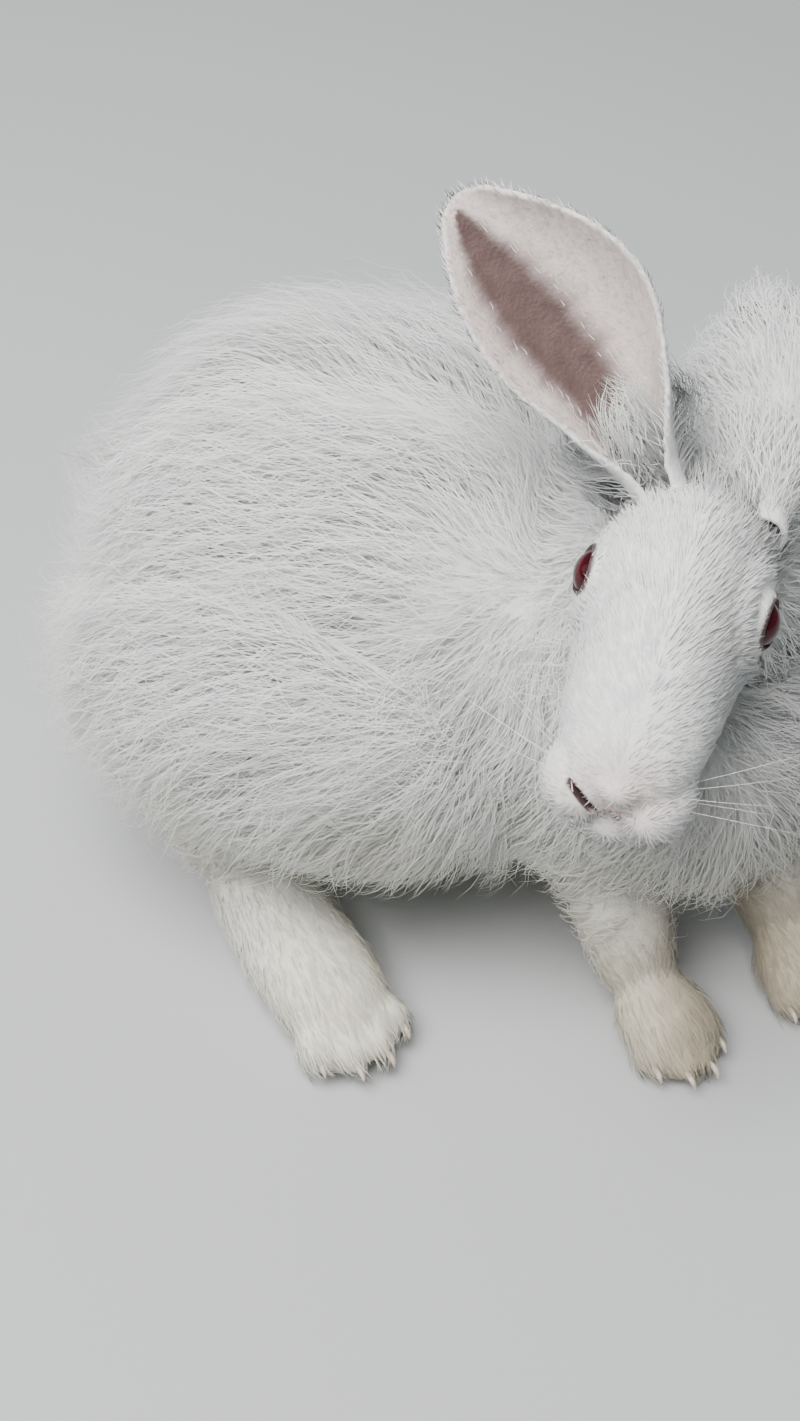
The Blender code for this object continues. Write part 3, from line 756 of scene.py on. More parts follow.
# %% Arrays of the skin
mesh = skin.data
mesh.calc_loop_triangles()
places = read(mesh.vertices, "co", 3) - home
facings = read(mesh.vertices, "normal", 3)
triangles = read(mesh.loop_triangles, "vertices", 3, np.int32)
corners = read(mesh.loop_triangles, "loops", 3, np.int32)
flat_map = read(mesh.uv_layers[BAKE_MAP].uv, "vector", 2)
in_skull = (places - np.array(EYE_MIDDLE)) @ skull
eye_far = far_from_eyes(in_skull)
nose_far = far(in_skull, (0.0600, 0, -0.0255))
print(len(places), "points and", len(triangles), "triangles")

# %% Places on the ears
SHEET_ROWS = 101
SHEET_COLUMNS = 61
NEAR_EAR = 0.0042
LOWEST_EAR = 0.15

# Each row: place, share along the ear, across it, its number, and three directions.
sheet = []
for number, name in enumerate(EARS):
    axis, facing, side = ear_frame(name)
    for share in np.linspace(0, 1, SHEET_ROWS):
        curl = math.radians(along_ear(share, EAR_CURL))
        for across in np.linspace(-1, 1, SHEET_COLUMNS):
            inward = facing * math.cos(across * curl) - side * math.sin(across * curl)
            over_rim = side * math.cos(across * curl) + facing * math.sin(across * curl)
            over_rim *= math.copysign(max(0, abs(across) - 0.7) / 0.3, across)
            sheet.append((*ear_point(name, share, across), share, across, number,
                          *inward, *axis, *over_rim))
sheet = np.array(sheet)
tree = search_tree(sheet[:, :3], range(len(sheet)))
high = np.nonzero(places[:, 2] > LOWEST_EAR)[0]
nearest = [tree.find(point)[1:] for point in places[high].tolist()]
on_ear = np.zeros(len(places), bool)
on_ear[high] = [distance < NEAR_EAR for _, distance in nearest]
on_sheet = np.zeros((len(places), 12))
on_sheet[high] = sheet[[number for number, _ in nearest], 3:]
ear_share, ear_across, ear_number = on_sheet[:, :3].T
ear_inward, ear_axis, ear_over_rim = np.split(on_sheet[:, 3:], 3, axis=1)
into_cup = dot(facings, ear_inward)
on_ear &= ~((ear_share < 0.04) & (far(in_skull, (-0.005, 0, 0)) < 0.036))
print("points on the ears:", int(on_ear.sum()))

# %% Parts of the animal
NEAR_SKULL = 0.0006
by_skull = np.array([guides[1].find_nearest(place)[3]
                     for place in (places + home).tolist()]) < NEAR_SKULL
in_cut = (eye_far < 0.0125) | (nose_far < 0.020)
on_skull = step(-0.046, -0.028, in_skull[:, 0]) * (by_skull | in_cut) * ~on_ear
paw_far = far_from_paws(places)
foot_far = np.minimum(*[far_from_line(places, heel, toe) for heel, toe in HIND_FEET])
on_paw = (1 - step(0.024, 0.034, paw_far)) * (1 - step(0.030, 0.046, places[:, 2]))
on_foot = (1 - step(0.026, 0.036, foot_far)) * (1 - step(0.026, 0.044, places[:, 2]))
woolly = np.clip(1 - on_skull - on_paw - on_foot - on_ear, 0, 1)
print("points on the skull:", int((on_skull > 0.5).sum()), "under wool:", int((woolly > 0.5).sum()))

# %% [markdown]
# ## Long wool
#
# Angora wool grows in fine wavy strands of 5 to 7 cm that cling together in locks. Particle
# hair would not survive an export, so each strand is a thin closed tube of its own. Strands
# near each other share a leader and lean towards it, more so at their tips, which gives the
# pointed locks. The real fibre is far too fine to draw, so each tube stands for a few dozen.
# Along the spine the wool parts, and low on the flank it ends in curly wisps.

# %% Which way the wool lies
SPINE = np.array([row[:2] for row in TORSO_SECTIONS])
HEADINGS = unit(np.gradient(SPINE, axis=0))
NECK_MIDDLE = (0.058, 0.016, 0.145)
HEAD_FORWARD = skull[:, 0] * (1, 1, 0)
LEFT_EAR_LINE = EARS["left"][:2]


def wool_lie(points, facing):
    """Direction of the wool at places in the animal's frame."""
    x, y, z = points.T
    back = -np.stack([np.interp(x, SPINE[:, 0], HEADINGS[:, k]) for k in (0, 1)], axis=1)
    back = np.column_stack([unit(back), np.zeros(len(x))])
    outside = facing * (1, 1, 0)
    top = np.clip(facing[:, 2], 0, 1)
    low = 1 - np.clip((z - 0.03) / 0.10, 0, 1)
    drop = 0.40 * (1 - top) + 0.20 * low
    lie = back * (0.55 + 0.4 * top)[:, None] + outside * 0.2 - np.outer(drop, UP)
    from_spine = y - np.interp(x, SPINE[:, 0], SPINE[:, 1])
    parting = np.sign(from_spine) * top * np.exp(-(from_spine / 0.030) ** 2)
    left = np.column_stack([-back[:, 1], back[:, 0], np.zeros(len(x))])
    lie -= left * (parting * 0.55)[:, None]
    ruff = -HEAD_FORWARD * 0.55 + unit(points - NECK_MIDDLE) * 0.4 - np.array(UP) * 0.55
    near_head = 1 - step(0.060, 0.105, far(points, EYE_MIDDLE))
    lie = lerp(lie, ruff, near_head[:, None])
    on_tail = 1 - step(-0.126, -0.114, x)
    lie = lerp(lie, np.array((-0.75, -0.15, 0.15)), on_tail[:, None])
    by_ear = (far_from_line(points, *LEFT_EAR_LINE) < 0.030) & (z > 0.160)
    lie = np.where(by_ear[:, None], np.array((-0.42, 0.80, -0.35)), lie)
    for base, tip, *_ in EARS.values():
        near = 1 - step(0.016, 0.034, far(points, base))
        lie = lerp(lie, np.array((tip - base).normalized()), near[:, None])
    return unit(lie - facing * (dot(lie, facing) * 0.8)[:, None])


def wool_length(points):
    """Length of the wool at places in the animal's frame."""
    x, y, z = points.T
    length = lerp(0.024, 0.060, step(0.046, 0.095, far(points, EYE_MIDDLE)))
    length = lerp(0.049, length, step(-0.110, -0.060, x))
    length = lerp(length, 0.026, 1 - step(-0.126, -0.114, x))
    length = lerp(0.011, length, step(0.048, 0.122, z))
    by_ear = far_from_line(points, *LEFT_EAR_LINE) < 0.030
    length = np.where(by_ear & (z > 0.160), 0.030, length)
    by_paws = 1 - step(0.028, 0.060, far_from_paws(points))
    return lerp(length, np.minimum(length, 0.026), by_paws * (1 - step(0.05, 0.085, z)))


longest = wool_length(places).max()
print("longest wool:", round(float(longest), 3), "m")

# %% Paths of strands
# How far a strand stands off the skin from root to tip, and how wide it is there.
RISE = (0, 0.14, 0.62, 0.92, 1.04, 0.98)
STRAND_SHAPE = (0.7, 1.0, 0.95, 0.8, 0.55, 0)
ROOT_DEPTH = 0.0009
STRAND_STATIONS = 6
WISP_STATIONS = 10
FLOOR_CLEARANCE = 0.002
# Width of the patch of the flat map that carries a strand's colour.
PATCH = 0.003
rng = np.random.default_rng(5)


def sample(weight, count):
    """Random roots on the skin: their places, and their places on the flat map."""
    a, b, c = (places[triangles[:, k]] for k in range(3))
    areas = np.linalg.norm(np.cross(b - a, c - a), axis=1) * weight[triangles].mean(axis=1)
    chosen = rng.choice(len(triangles), count, p=areas / areas.sum())
    u, v = rng.random((2, count))
    flip = u + v > 1
    u[flip], v[flip] = 1 - u[flip], 1 - v[flip]
    shares = np.stack([1 - u - v, u, v], axis=1)[:, :, None]
    return ((places[triangles[chosen]] * shares).sum(axis=1),
            (flat_map[corners[chosen]] * shares).sum(axis=1))


def nearest_skin(place):
    """Nearest point and facing of trunk, skull or ears, whichever the place is least clear of."""
    place = Vector(place)
    return min((guide.find_nearest(place) for guide in guides),
               key=lambda hit: (place - hit[0]).dot(hit[1]))


def turned(rows, axes, angles):
    """Rows of vectors turned about axes at right angles to them."""
    return (rows * np.cos(angles)[:, None] + np.cross(axes, rows) * np.sin(angles)[:, None]
            + axes * (dot(rows, axes) * (1 - np.cos(angles)))[:, None])


def grow(roots, lengths, lifts, swing, curl, stations):
    """Paths of strands that rise from the skin and then lie along the coat."""
    point = roots.copy()
    path, ups = np.empty((2, len(roots), stations, 3))
    for k in range(stations):
        share = k / (stations - 1)
        hits = [nearest_skin(place) for place in (point + home).tolist()]
        near = np.array([hit[0] for hit in hits]) - home
        facing = np.array([hit[1] for hit in hits])
        want = lifts * np.interp(share, np.linspace(0, 1, len(RISE)), RISE) - (k == 0) * ROOT_DEPTH
        raised = (dot(point - near, facing) < want) | (share < 0.25)
        point = np.where(raised[:, None], near + facing * want[:, None], point)
        if k:
            point[:, 2] = np.maximum(point[:, 2], FLOOR_CLEARANCE)
        path[:, k], ups[:, k] = point, facing
        ahead = turned(wool_lie(point, facing), facing, swing + curl * share ** 2)
        if share < 0.5:
            ahead = unit(ahead - facing * dot(ahead, facing)[:, None])
        point = point + ahead * (lengths / (stations - 1))[:, None]
    return path, ups


print("a strand runs through", STRAND_STATIONS, "points and a wisp through", WISP_STATIONS)

# %% Locks and waves
LEADER_SHARE = 1 / 14


def gathered(paths, leaders, hold):
    """Paths drawn towards their leaders' paths, most at the tips."""
    share = np.linspace(0, 1, paths.shape[1])[None, :, None]
    return lerp(paths, paths[leaders], hold[:, None, None] * share ** 1.2)


def waved(paths, ups, size, length, phase):
    """Paths with waves that grow towards the tip."""
    share = np.linspace(0, 1, paths.shape[1])[None, :]
    ahead = np.gradient(paths, axis=1)
    side = unit(np.cross(ahead, ups))
    run = np.linalg.norm(ahead, axis=2).cumsum(axis=1)
    turn = run / length[:, None] * math.tau + phase[:, None]
    grow_out = size[:, None] * share
    return (paths + side * (grow_out * np.sin(turn))[..., None]
            + ups * (grow_out * 0.5 * np.cos(turn))[..., None])


def leaders_of(roots):
    """For each root the nearest one of a random few, which leads its lock."""
    chosen = rng.choice(len(roots), int(len(roots) * LEADER_SHARE), replace=False)
    tree = search_tree(roots[chosen], chosen.tolist())
    return np.array([tree.find(place)[1] for place in roots.tolist()])


print("one strand in", round(1 / LEADER_SHARE), "leads a lock")

# %% Strands as meshes
STRAND_FLATNESS = 0.7
STRAND_ROUNDNESS = 0.20


def soft_normals(mesh, round_it, ups):
    """Shade each strand mostly as the coat's surface, which is how fine wool catches light."""
    normals = unit(unit(round_it) * STRAND_ROUNDNESS + unit(ups))
    mesh.normals_split_custom_set_from_vertices(normals.reshape(-1, 3).astype(np.float32))


def strand_triangles(stations):
    """Number of triangles of a closed three-sided strand."""
    return 6 * stations - 8


def tubes(name, paths, ups, width, flat, tint, material):
    """Object of thin closed tubes that taper to a point, one for each path."""
    count, stations = paths.shape[:2]
    shape = np.interp(np.linspace(0, 1, stations), np.linspace(0, 1, len(STRAND_SHAPE)),
                      STRAND_SHAPE)[:-1]
    ahead = np.gradient(paths, axis=1)[:, :-1]
    side = unit(np.cross(ahead, ups[:, :-1]))
    rise = unit(np.cross(side, ahead))
    half = (width[:, None] * shape / 2)[..., None]
    rings = np.stack([
        paths[:, :-1] + half * (side * math.cos(angle) + rise * math.sin(angle) * STRAND_FLATNESS)
        for angle in (math.pi / 2, math.pi * 7 / 6, math.pi * 11 / 6)], axis=2)
    points = np.concatenate([rings.reshape(count, -1, 3), paths[:, -1:]], axis=1) + home
    each = points.shape[1]
    faces = [(0, 1, 2)]
    for ring in range(stations - 2):
        for k in range(3):
            near, after = 3 * ring + k, 3 * ring + (k + 1) % 3
            faces += [(near, near + 3, after + 3), (near, after + 3, after)]
    last = 3 * (stations - 2)
    faces += [(last + k, each - 1, last + (k + 1) % 3) for k in range(3)]
    faces = (np.array(faces)[None] + (np.arange(count) * each)[:, None, None]).reshape(-1, 3)
    along = np.append(np.repeat(np.linspace(0, 1, stations)[:-1], 3), 1)
    across = np.append(np.tile((0, 0.5, 1), stations - 1), 0.5)
    patch = np.stack([across, along], axis=1)[None] * PATCH
    mesh = bpy.data.meshes.new(name)
    mesh.vertices.add(count * each)
    mesh.vertices.foreach_set("co", points.astype(np.float32).ravel())
    mesh.loops.add(faces.size)
    mesh.loops.foreach_set("vertex_index", faces.astype(np.int32).ravel())
    mesh.polygons.add(len(faces))
    mesh.polygons.foreach_set("loop_start", np.arange(0, faces.size, 3, dtype=np.int32))
    mesh.update(calc_edges=True)
    mapped = (flat[:, None] + patch).reshape(-1, 2)[faces.ravel()]
    mesh.uv_layers.new(name=BAKE_MAP).uv.foreach_set("vector", mapped.astype(np.float32).ravel())
    for label, values in (("along", np.tile(along, count)), ("tint", np.repeat(tint, each))):
        mesh.attributes.new(label, "FLOAT", "POINT").data.foreach_set(
            "value", values.astype(np.float32))
    mesh.materials.append(material)
    mesh.shade_smooth()
    soft_normals(mesh, points - np.repeat(paths, 3, axis=1)[:, :each] - home,
                 np.repeat(ups, 3, axis=1)[:, :each])
    return placed(name, mesh)


print(strand_triangles(STRAND_STATIONS), "triangles a strand")

# %% [markdown]
# ## Colours of wool and skin
#
# White wool is never one white. It is cool and bluish in the shade of the back, creamy where
# it has been lain on, and stained brown on the front paws. The markings depend only on the
# place on the animal, so the skin and every coat share them. A strand's root is painted a
# little darker than its tip, a painted shade for the light that reaches it less. Wool scatters
# light widely, so it is rough and has a soft sheen.

# %% Markings
def ramp(node, stops):
    """Colour ramp node with its stops set from places and hex colours."""
    elements = node.color_ramp.elements
    while len(elements) < len(stops):
        elements.new(0.5)
    for element, (place, colour) in zip(elements, stops):
        element.position = place
        element.color = linear(colour)
    return node


def markings(tree):
    """Colour of the coat by its place on the animal."""
    place = add(tree, "ShaderNodeTexCoord").outputs["Object"]
    parts = add(tree, "ShaderNodeSeparateXYZ", [(0, place)]).outputs
    broad = add(tree, "ShaderNodeTexNoise", [("Vector", place)], scale=22, detail=3)
    low = add(tree, "ShaderNodeMapRange", [("Value", parts["Z"])], from_min=0.11, from_max=0.02)
    cream = add(tree, "ShaderNodeMath", [(0, low), (1, broad)], operation="MULTIPLY")
    off_paw = add(tree, "ShaderNodeVectorMath", [(0, place), (1, FORELEG_MIDDLE + HOME)],
                  operation="DISTANCE").outputs["Value"]
    stain = add(tree, "ShaderNodeMapRange", [("Value", off_paw)],
                from_min=0.074, from_max=0.034, to_max=0.66)
    fine = add(tree, "ShaderNodeTexNoise", [("Vector", place)], scale=140, detail=2)
    colour = ramp(add(tree, "ShaderNodeValToRGB", [(0, fine)]),
                  ((0.3, "E6E9E9"), (0.7, "F7F8F5"))).outputs[0]
    for share, tone in ((cream, "D8CFAE"), (stain, "A8967A")):
        colour = add(tree, "ShaderNodeMix", [("Factor", share), (6, colour), (7, linear(tone))],
                     data_type="RGBA").outputs[2]
    return colour


def coat_material(name, root_shade):
    """Wool or fur whose strands are darker at the root, a painted shade, and differ a little in
    tone.
    """
    material, tree, shader = new_material(name, {
        "Roughness": 0.7, "Sheen Weight": 0.25, "Sheen Roughness": 0.5})
    along, tint, blush = (add(tree, "ShaderNodeAttribute", attribute_name=label).outputs["Fac"]
                          for label in ("along", "tint", "blush"))
    # Painted shade: the colour darkens towards the strand's root, where less light reaches.
    shade = add(tree, "ShaderNodeMapRange", [("Value", along)], from_max=0.6, to_min=root_shade)
    tone = add(tree, "ShaderNodeMapRange", [("Value", tint)], to_min=0.90, to_max=1.0)
    both = add(tree, "ShaderNodeMath", [(0, shade), (1, tone)], operation="MULTIPLY")
    grey = add(tree, "ShaderNodeCombineColor", [(k, both) for k in range(3)])
    flushed = add(tree, "ShaderNodeMix", [("Factor", blush), (6, markings(tree)),
                                          (7, linear("D9C0BA"))], data_type="RGBA")
    colour = add(tree, "ShaderNodeMix", [(0, 1), (6, flushed.outputs[2]), (7, grey)],
                 data_type="RGBA", blend_type="MULTIPLY")
    tree.links.new(colour.outputs[2], shader.inputs["Base Color"])
    return material


wool_material = coat_material("white_angora_wool", 0.88)
fur_material = coat_material("short_white_fur", 0.92)
print("coats:", wool_material.name, "and", fur_material.name)

# %% Grow the wool
WOOL_COUNT = 31500
WISP_COUNT = 4000
EAR_WOOL_COUNT = 5600
WOOL_WIDTH = 0.00031
LIFT_SHARE = 0.46
PIECE_TRIANGLES = 190000


def wool_pieces(name, count, stations, weight, reach, hold, wave):
    """Strands over the woolly skin, in pieces that lie beside each other."""
    roots, flat = sample(weight, count)
    leaders = leaders_of(roots)
    own = rng.uniform(-1, 1, (4, count))
    lengths = wool_length(roots) * reach * (1 + 0.16 * own[0])
    lifts = lengths * LIFT_SHARE * rng.uniform(0.55, 1.08, count)
    shared = rng.uniform(-1, 1, (4, count))[:, leaders]
    swing = 0.32 * shared[0] + 0.34 * own[1]
    curl = 0.70 * shared[1] + 0.55 * own[2]
    paths, ups = grow(roots, lengths, lifts, swing, curl, stations)
    looser = lerp(1, 0.4, step(0.07, 0.15, roots[:, 2]))
    paths = gathered(paths, leaders, rng.uniform(*hold, count) * looser)
    size, pitch = wave
    paths = waved(paths, ups, size * (0.7 + 0.3 * shared[2]), pitch * (1 + 0.25 * shared[3]),
                  math.pi * shared[2] * 3 + own[3] * 1.3)
    paths[..., 2] = np.maximum(paths[..., 2], FLOOR_CLEARANCE)
    tint = rng.random(count) * 0.6 + (shared[2] + 1) * 0.2
    order = np.argsort(roots[:, 0] + 0.2 * roots[:, 1])
    splits = math.ceil(count * strand_triangles(stations) / PIECE_TRIANGLES)
    return [tubes(f"{name}_{number}", paths[part], ups[part],
                  WOOL_WIDTH * rng.uniform(0.8, 1.2, len(part)), flat[part], tint[part],
                  wool_material)
            for number, part in enumerate(np.array_split(order, splits))]


under = (facings[:, 2] < -0.5) & (places[:, 2] < 0.05)
wool_weight = woolly * np.where(under, 0.3, 1.0)
wisp_weight = wool_weight * (facings[:, 2] > -0.3) * step(0.030, 0.060, places[:, 2])
crown = (2.0 * on_skull * (1 - step(-0.028, -0.014, in_skull[:, 0])) * (in_skull[:, 2] > -0.02)
         + on_ear * (into_cup < 0) * np.where(ear_number == 1, 1, 1 - step(0.08, 0.16, ear_share)))
for base, *_ in EARS.values():
    crown = crown * (1 + 2.5 * (1 - step(0.012, 0.028, far(places, base))))
# Each coat's name, count, stations, weight, reach, hold of its leaders, and size of its waves.
LONG_COATS = (
    ("wool", WOOL_COUNT, STRAND_STATIONS, wool_weight, 1.0, (0.1, 0.7), (0.0034, 0.032)),
    ("wisps", WISP_COUNT, WISP_STATIONS, wisp_weight, 1.14, (0.5, 0.95), (0.0074, 0.024)),
    ("ear_wool", EAR_WOOL_COUNT, STRAND_STATIONS, crown, 0.8, (0.1, 0.6), (0.0030, 0.030)))
long_coats = [thing for coat in LONG_COATS for thing in wool_pieces(*coat)]
for thing in long_coats:
    print(thing.name, len(thing.data.polygons), "triangles")

# %% [markdown]
# ## Short fur
#
# Face, ears and feet carry fur of a few millimetres that lies flat. Geometry Nodes suits what
# repeats evenly over a surface: points are strewn on the skin by a density that is painted into
# it as an attribute, and on each point lies one small blade, turned by a second attribute along
# the fur. Realize Instances then makes real faces of them, so nothing is lost in an export.

# %% Which way the short fur lies
# On the face it lies back from the nose, and round an eye it points away from the lids.
x, y, z = in_skull.T
side_of_head = np.sign(y)
cheek = step(0.012, 0.026, np.abs(y)) * (1 - step(0.006, 0.030, x))
face_lie = np.stack([np.full(len(x), -1.0), side_of_head * (0.25 + 0.25 * cheek), -0.55 * cheek
                     - 0.3 * step(0.034, 0.050, x)], axis=1)
from_opening = np.full(len(x), 9.0)
lid_turn = np.array(Euler((0, math.radians(OPENING_TURN), 0)).to_matrix())
for side in (-1, 1):
    middle = eye_centre(side) + Vector((1, side, 1)) * Vector(OPENING_SHIFT)
    off = (in_skull - np.array(middle)) @ lid_turn
    share = np.linalg.norm(off / OPENING_SIZE, axis=1)
    from_opening = np.minimum(from_opening, share)
    face_lie += (unit(off) @ lid_turn.T) * (1.6 * (1 - step(1.1, 2.0, share)))[:, None]
face_lie = face_lie @ skull.T
socket = 1 - step(1.04, 1.12, from_opening)
ear_lie = ear_axis + 0.45 * ear_over_rim
foot_lie = np.where((places[:, 0] > 0.07)[:, None], np.array(CHEST) - np.array(UP) * 0.3,
                    np.array((0.85, 0, -0.3)) + np.outer(np.sign(places[:, 1]), (0, 0.5, 0)))
on_feet = np.maximum(on_paw, on_foot)
comb = np.where(on_ear[:, None], ear_lie, np.where((on_feet > 0.3)[:, None], foot_lie, face_lie))
comb = unit(comb - facings * dot(comb, facings)[:, None])
print("points with short fur:", int((woolly < 0.5).sum()))

# %% How long the short fur is and where it grows
face_length = 0.0038 + 0.0040 * step(0.020, 0.060, nose_far) + 0.0060 * cheek
face_length += 0.0045 * (1 - step(-0.036, -0.016, x))
face_length += 0.0030 * step(0.034, 0.050, x) * (1 - step(-0.036, -0.026, z))
face_length = lerp(0.0030, face_length, step(0.010, 0.020, eye_far))
fur_length = np.where(on_ear, 0.0040, np.where(on_feet > 0.3, 0.0075, face_length))

# A strip with a frayed edge runs up the cup of an ear, and little fur grows on it. The skin there
# is painted mauve brown, a painted shade of the cup over pink skin.
inside_ear = on_ear & (into_cup > 0.25)
strip_middle = lerp(-0.16, -0.36, ear_share)
strip_half = 0.46 * np.sqrt(np.clip(1 - ((ear_share - 0.5) / 0.47) ** 4, 0.001, 1))
frayed = 1 + 0.08 * np.sin(ear_share * 61) * np.sin(ear_share * 23 + 1)
strip = 1 - step(0.40, 1.30, np.abs(ear_across - strip_middle) / strip_half * frayed)
strip = np.where(inside_ear, strip, 0)
# The nose's tip, its slits and the rims of the lids are bare.
slit_far = np.min([far(in_skull, point) for point in smooth_run(SLIT, 25)], axis=0)
bare_nose = 1 - step(0.0022, 0.0046, far(in_skull, (0.0610, 0, -0.0300)))
densities = {
    "face_density": on_skull * (1 - socket) * (1 - bare_nose) * step(0.0012, 0.0022, slit_far),
    "ear_density": on_ear * np.clip(1 - 1.1 * strip, 0, 1),
    "foot_density": on_feet * (facings[:, 2] > -0.6)}
blush = np.clip(0.9 * bare_nose + 0.42 * (1 - step(0.006, 0.024, nose_far)), 0, 1)
blush = np.maximum(blush, np.where(inside_ear, 0.5, 0))
# The insides of the nostrils' slits and the rims of the lids are painted near black, a painted
# shade of these openings.
in_slit = (slit_far < 0.006) & ~by_skull
lid_and_slit_shade = np.maximum(1 - step(1.08, 1.24, from_opening), in_slit)
lid_and_slit_shade = np.maximum(lid_and_slit_shade, 1 - step(0.0010, 0.0016, slit_far))


def write(label, values, kind="FLOAT"):
    """Attribute of the skin's points."""
    entry = skin.data.attributes.new(label, kind, "POINT")
    entry.data.foreach_set("vector" if kind == "FLOAT_VECTOR" else "value",
                           np.asarray(values, np.float32).ravel())


write("comb", comb, "FLOAT_VECTOR")
for label, values in (*densities.items(), ("fur_length", fur_length), ("blush", blush),
                      ("strip", strip), ("lid_and_slit_shade", lid_and_slit_shade)):
    write(label, values)
print("points in the ears' strips:", int((strip > 0.5).sum()))


# %% Blade and node tree of the short fur
BLADE_POINTS = 7
STRAY = 0.20


def make_blade():
    """Blade of fur of unit length and width that lies along X and arches a little."""
    points = [(place, across, height + thick) for place, height in ((-0.12, -0.14), (0.42, 0.09))
              for across, thick in ((0.5, 0), (0, 0.04), (-0.5, 0))]
    points.append((1.0, 0, 0.06))
    faces = [(0, 2, 1)] + [(k, (k + 1) % 3, (k + 1) % 3 + 3, k + 3) for k in range(3)]
    faces += [(k + 3, (k + 1) % 3 + 3, 6) for k in range(3)]
    mesh = bpy.data.meshes.new("blade")
    mesh.from_pydata(points, [], faces)
    for label, values in (("along", (0, 0, 0, 0.5, 0.5, 0.5, 1)),
                          ("across", (0, 0.5, 1, 0, 0.5, 1, 0.5))):
        mesh.attributes.new(label, "FLOAT", "POINT").data.foreach_set("value", values)
    mesh.shade_smooth()
    return bpy.data.objects.new("blade", mesh)


def make_fur_tree():
    """Node tree that strews blades over a mesh by its attributes."""
    tree = bpy.data.node_groups.new("short_fur", "GeometryNodeTree")
    for name, kind in (("Skin", "Geometry"), ("Where", "String"), ("Density", "Float"),
                       ("Width", "Float"), ("Seed", "Int"), ("Blade", "Object"),
                       ("Fur", "Material")):
        tree.interface.new_socket(name, in_out="INPUT", socket_type="NodeSocket" + kind)
    tree.interface.new_socket("Coat", in_out="OUTPUT", socket_type="NodeSocketGeometry")
    given = tree.nodes.new("NodeGroupInput").outputs
    where = add(tree, "GeometryNodeInputNamedAttribute", [("Name", given["Where"])])
    dense = add(tree, "ShaderNodeMath", [(0, where), (1, given["Density"])], operation="MULTIPLY")
    points = add(tree, "GeometryNodeDistributePointsOnFaces", [
        ("Mesh", given["Skin"]), ("Density", dense), ("Seed", given["Seed"])])
    flat, comb, length = (
        add(tree, "GeometryNodeInputNamedAttribute", name_=label, data_type=kind)
        for label, kind in ((BAKE_MAP, "FLOAT_VECTOR"), ("comb", "FLOAT_VECTOR"),
                            ("fur_length", "FLOAT")))
    tint = add(tree, "FunctionNodeRandomValue", data_type="FLOAT", seed=7)
    stored = points
    for label, kind, source in (("root", "FLOAT_VECTOR", flat), ("tint", "FLOAT", tint.outputs[1]),
                                ("facing", "FLOAT_VECTOR", points.outputs["Normal"])):
        stored = add(tree, "GeometryNodeStoreNamedAttribute", [
            ("Geometry", stored), ("Value", source)], name_=label, data_type=kind, domain="POINT")
    stray = add(tree, "FunctionNodeRandomValue", [("Seed", given["Seed"])],
                data_type="FLOAT_VECTOR", min=(-STRAY,) * 3, max=(STRAY,) * 3)
    lie = add(tree, "ShaderNodeVectorMath", [(0, comb), (1, stray)], operation="ADD")
    along = add(tree, "FunctionNodeAlignRotationToVector", [("Vector", lie)], axis="X")
    up = add(tree, "FunctionNodeAlignRotationToVector", [
        ("Rotation", along), ("Vector", points.outputs["Normal"])], axis="Z", pivot_axis="X")
    vary = add(tree, "FunctionNodeRandomValue", [(2, 0.65), (3, 1.25)], data_type="FLOAT")
    reach = add(tree, "ShaderNodeMath", [(0, length), (1, vary.outputs[1])], operation="MULTIPLY")
    size = add(tree, "ShaderNodeCombineXYZ", [(0, reach), (1, given["Width"]), (2, reach)])
    blade = add(tree, "GeometryNodeObjectInfo", [("Object", given["Blade"])])
    strewn = add(tree, "GeometryNodeInstanceOnPoints", [
        ("Points", stored), ("Instance", blade.outputs["Geometry"]), ("Rotation", up),
        ("Scale", size)])
    real = add(tree, "GeometryNodeRealizeInstances", [(0, strewn)])
    done = add(tree, "GeometryNodeSetMaterial", [("Geometry", real), ("Material", given["Fur"])])
    tree.links.new(done.outputs[0], tree.nodes.new("NodeGroupOutput").inputs[0])
    return tree


blade = make_blade()
fur_tree = make_fur_tree()
print("the tree has", len(fur_tree.nodes), "nodes")


# %% Grow the short fur
def short_fur(name, values):
    """Coat of blades over the skin, with its patches on the flat map."""
    thing = skin.copy()
    bpy.context.scene.collection.objects.link(thing)
    strew = thing.modifiers.new("strew", "NODES")
    strew.node_group = fur_tree
    for socket in fur_tree.interface.items_tree:
        if socket.name in values:
            strew[socket.identifier] = values[socket.name]
    mesh = plain_mesh(thing)
    root, facing = (read(mesh.attributes[label].data, "vector", 3) for label in ("root", "facing"))
    across, along = (read(mesh.attributes[label].data, "value", 1) for label in ("across", "along"))
    mapped = root[:, :2] + np.hstack([across, along]) * PATCH
    loops = read(mesh.loops, "vertex_index", 1, np.int32).ravel()
    points = read(mesh.vertices, "co", 3)
    points[:, 2] = np.maximum(points[:, 2], FLOOR_CLEARANCE / 4)
    mesh.vertices.foreach_set("co", points.ravel())
    soft_normals(mesh, read(mesh.vertices, "normal", 3), facing)
    for label in ("root", "across", "facing", "comb", "fur_length", "strip", "lid_and_slit_shade", *densities):
        if label in mesh.attributes:
            mesh.attributes.remove(mesh.attributes[label])
    mesh.uv_layers.new(name=BAKE_MAP).uv.foreach_set("vector", mapped[loops].ravel())
    mesh.name = name
    print(name, len(mesh.vertices) // BLADE_POINTS, "blades")
    return placed(name, mesh)


# Each coat's name, attribute, blades on a square metre, width and seed.
FUR_COATS = (("face_fur", "face_density", 800000, 0.00038, 3),
             ("ear_fur", "ear_density", 330000, 0.00032, 4),
             ("foot_fur", "foot_density", 330000, 0.00045, 5))
short_coats = [short_fur(name, {"Where": where, "Density": density, "Width": width,
                                "Seed": seed, "Blade": blade, "Fur": fur_material})
               for name, where, density, width, seed in FUR_COATS]
bpy.data.objects.remove(blade)
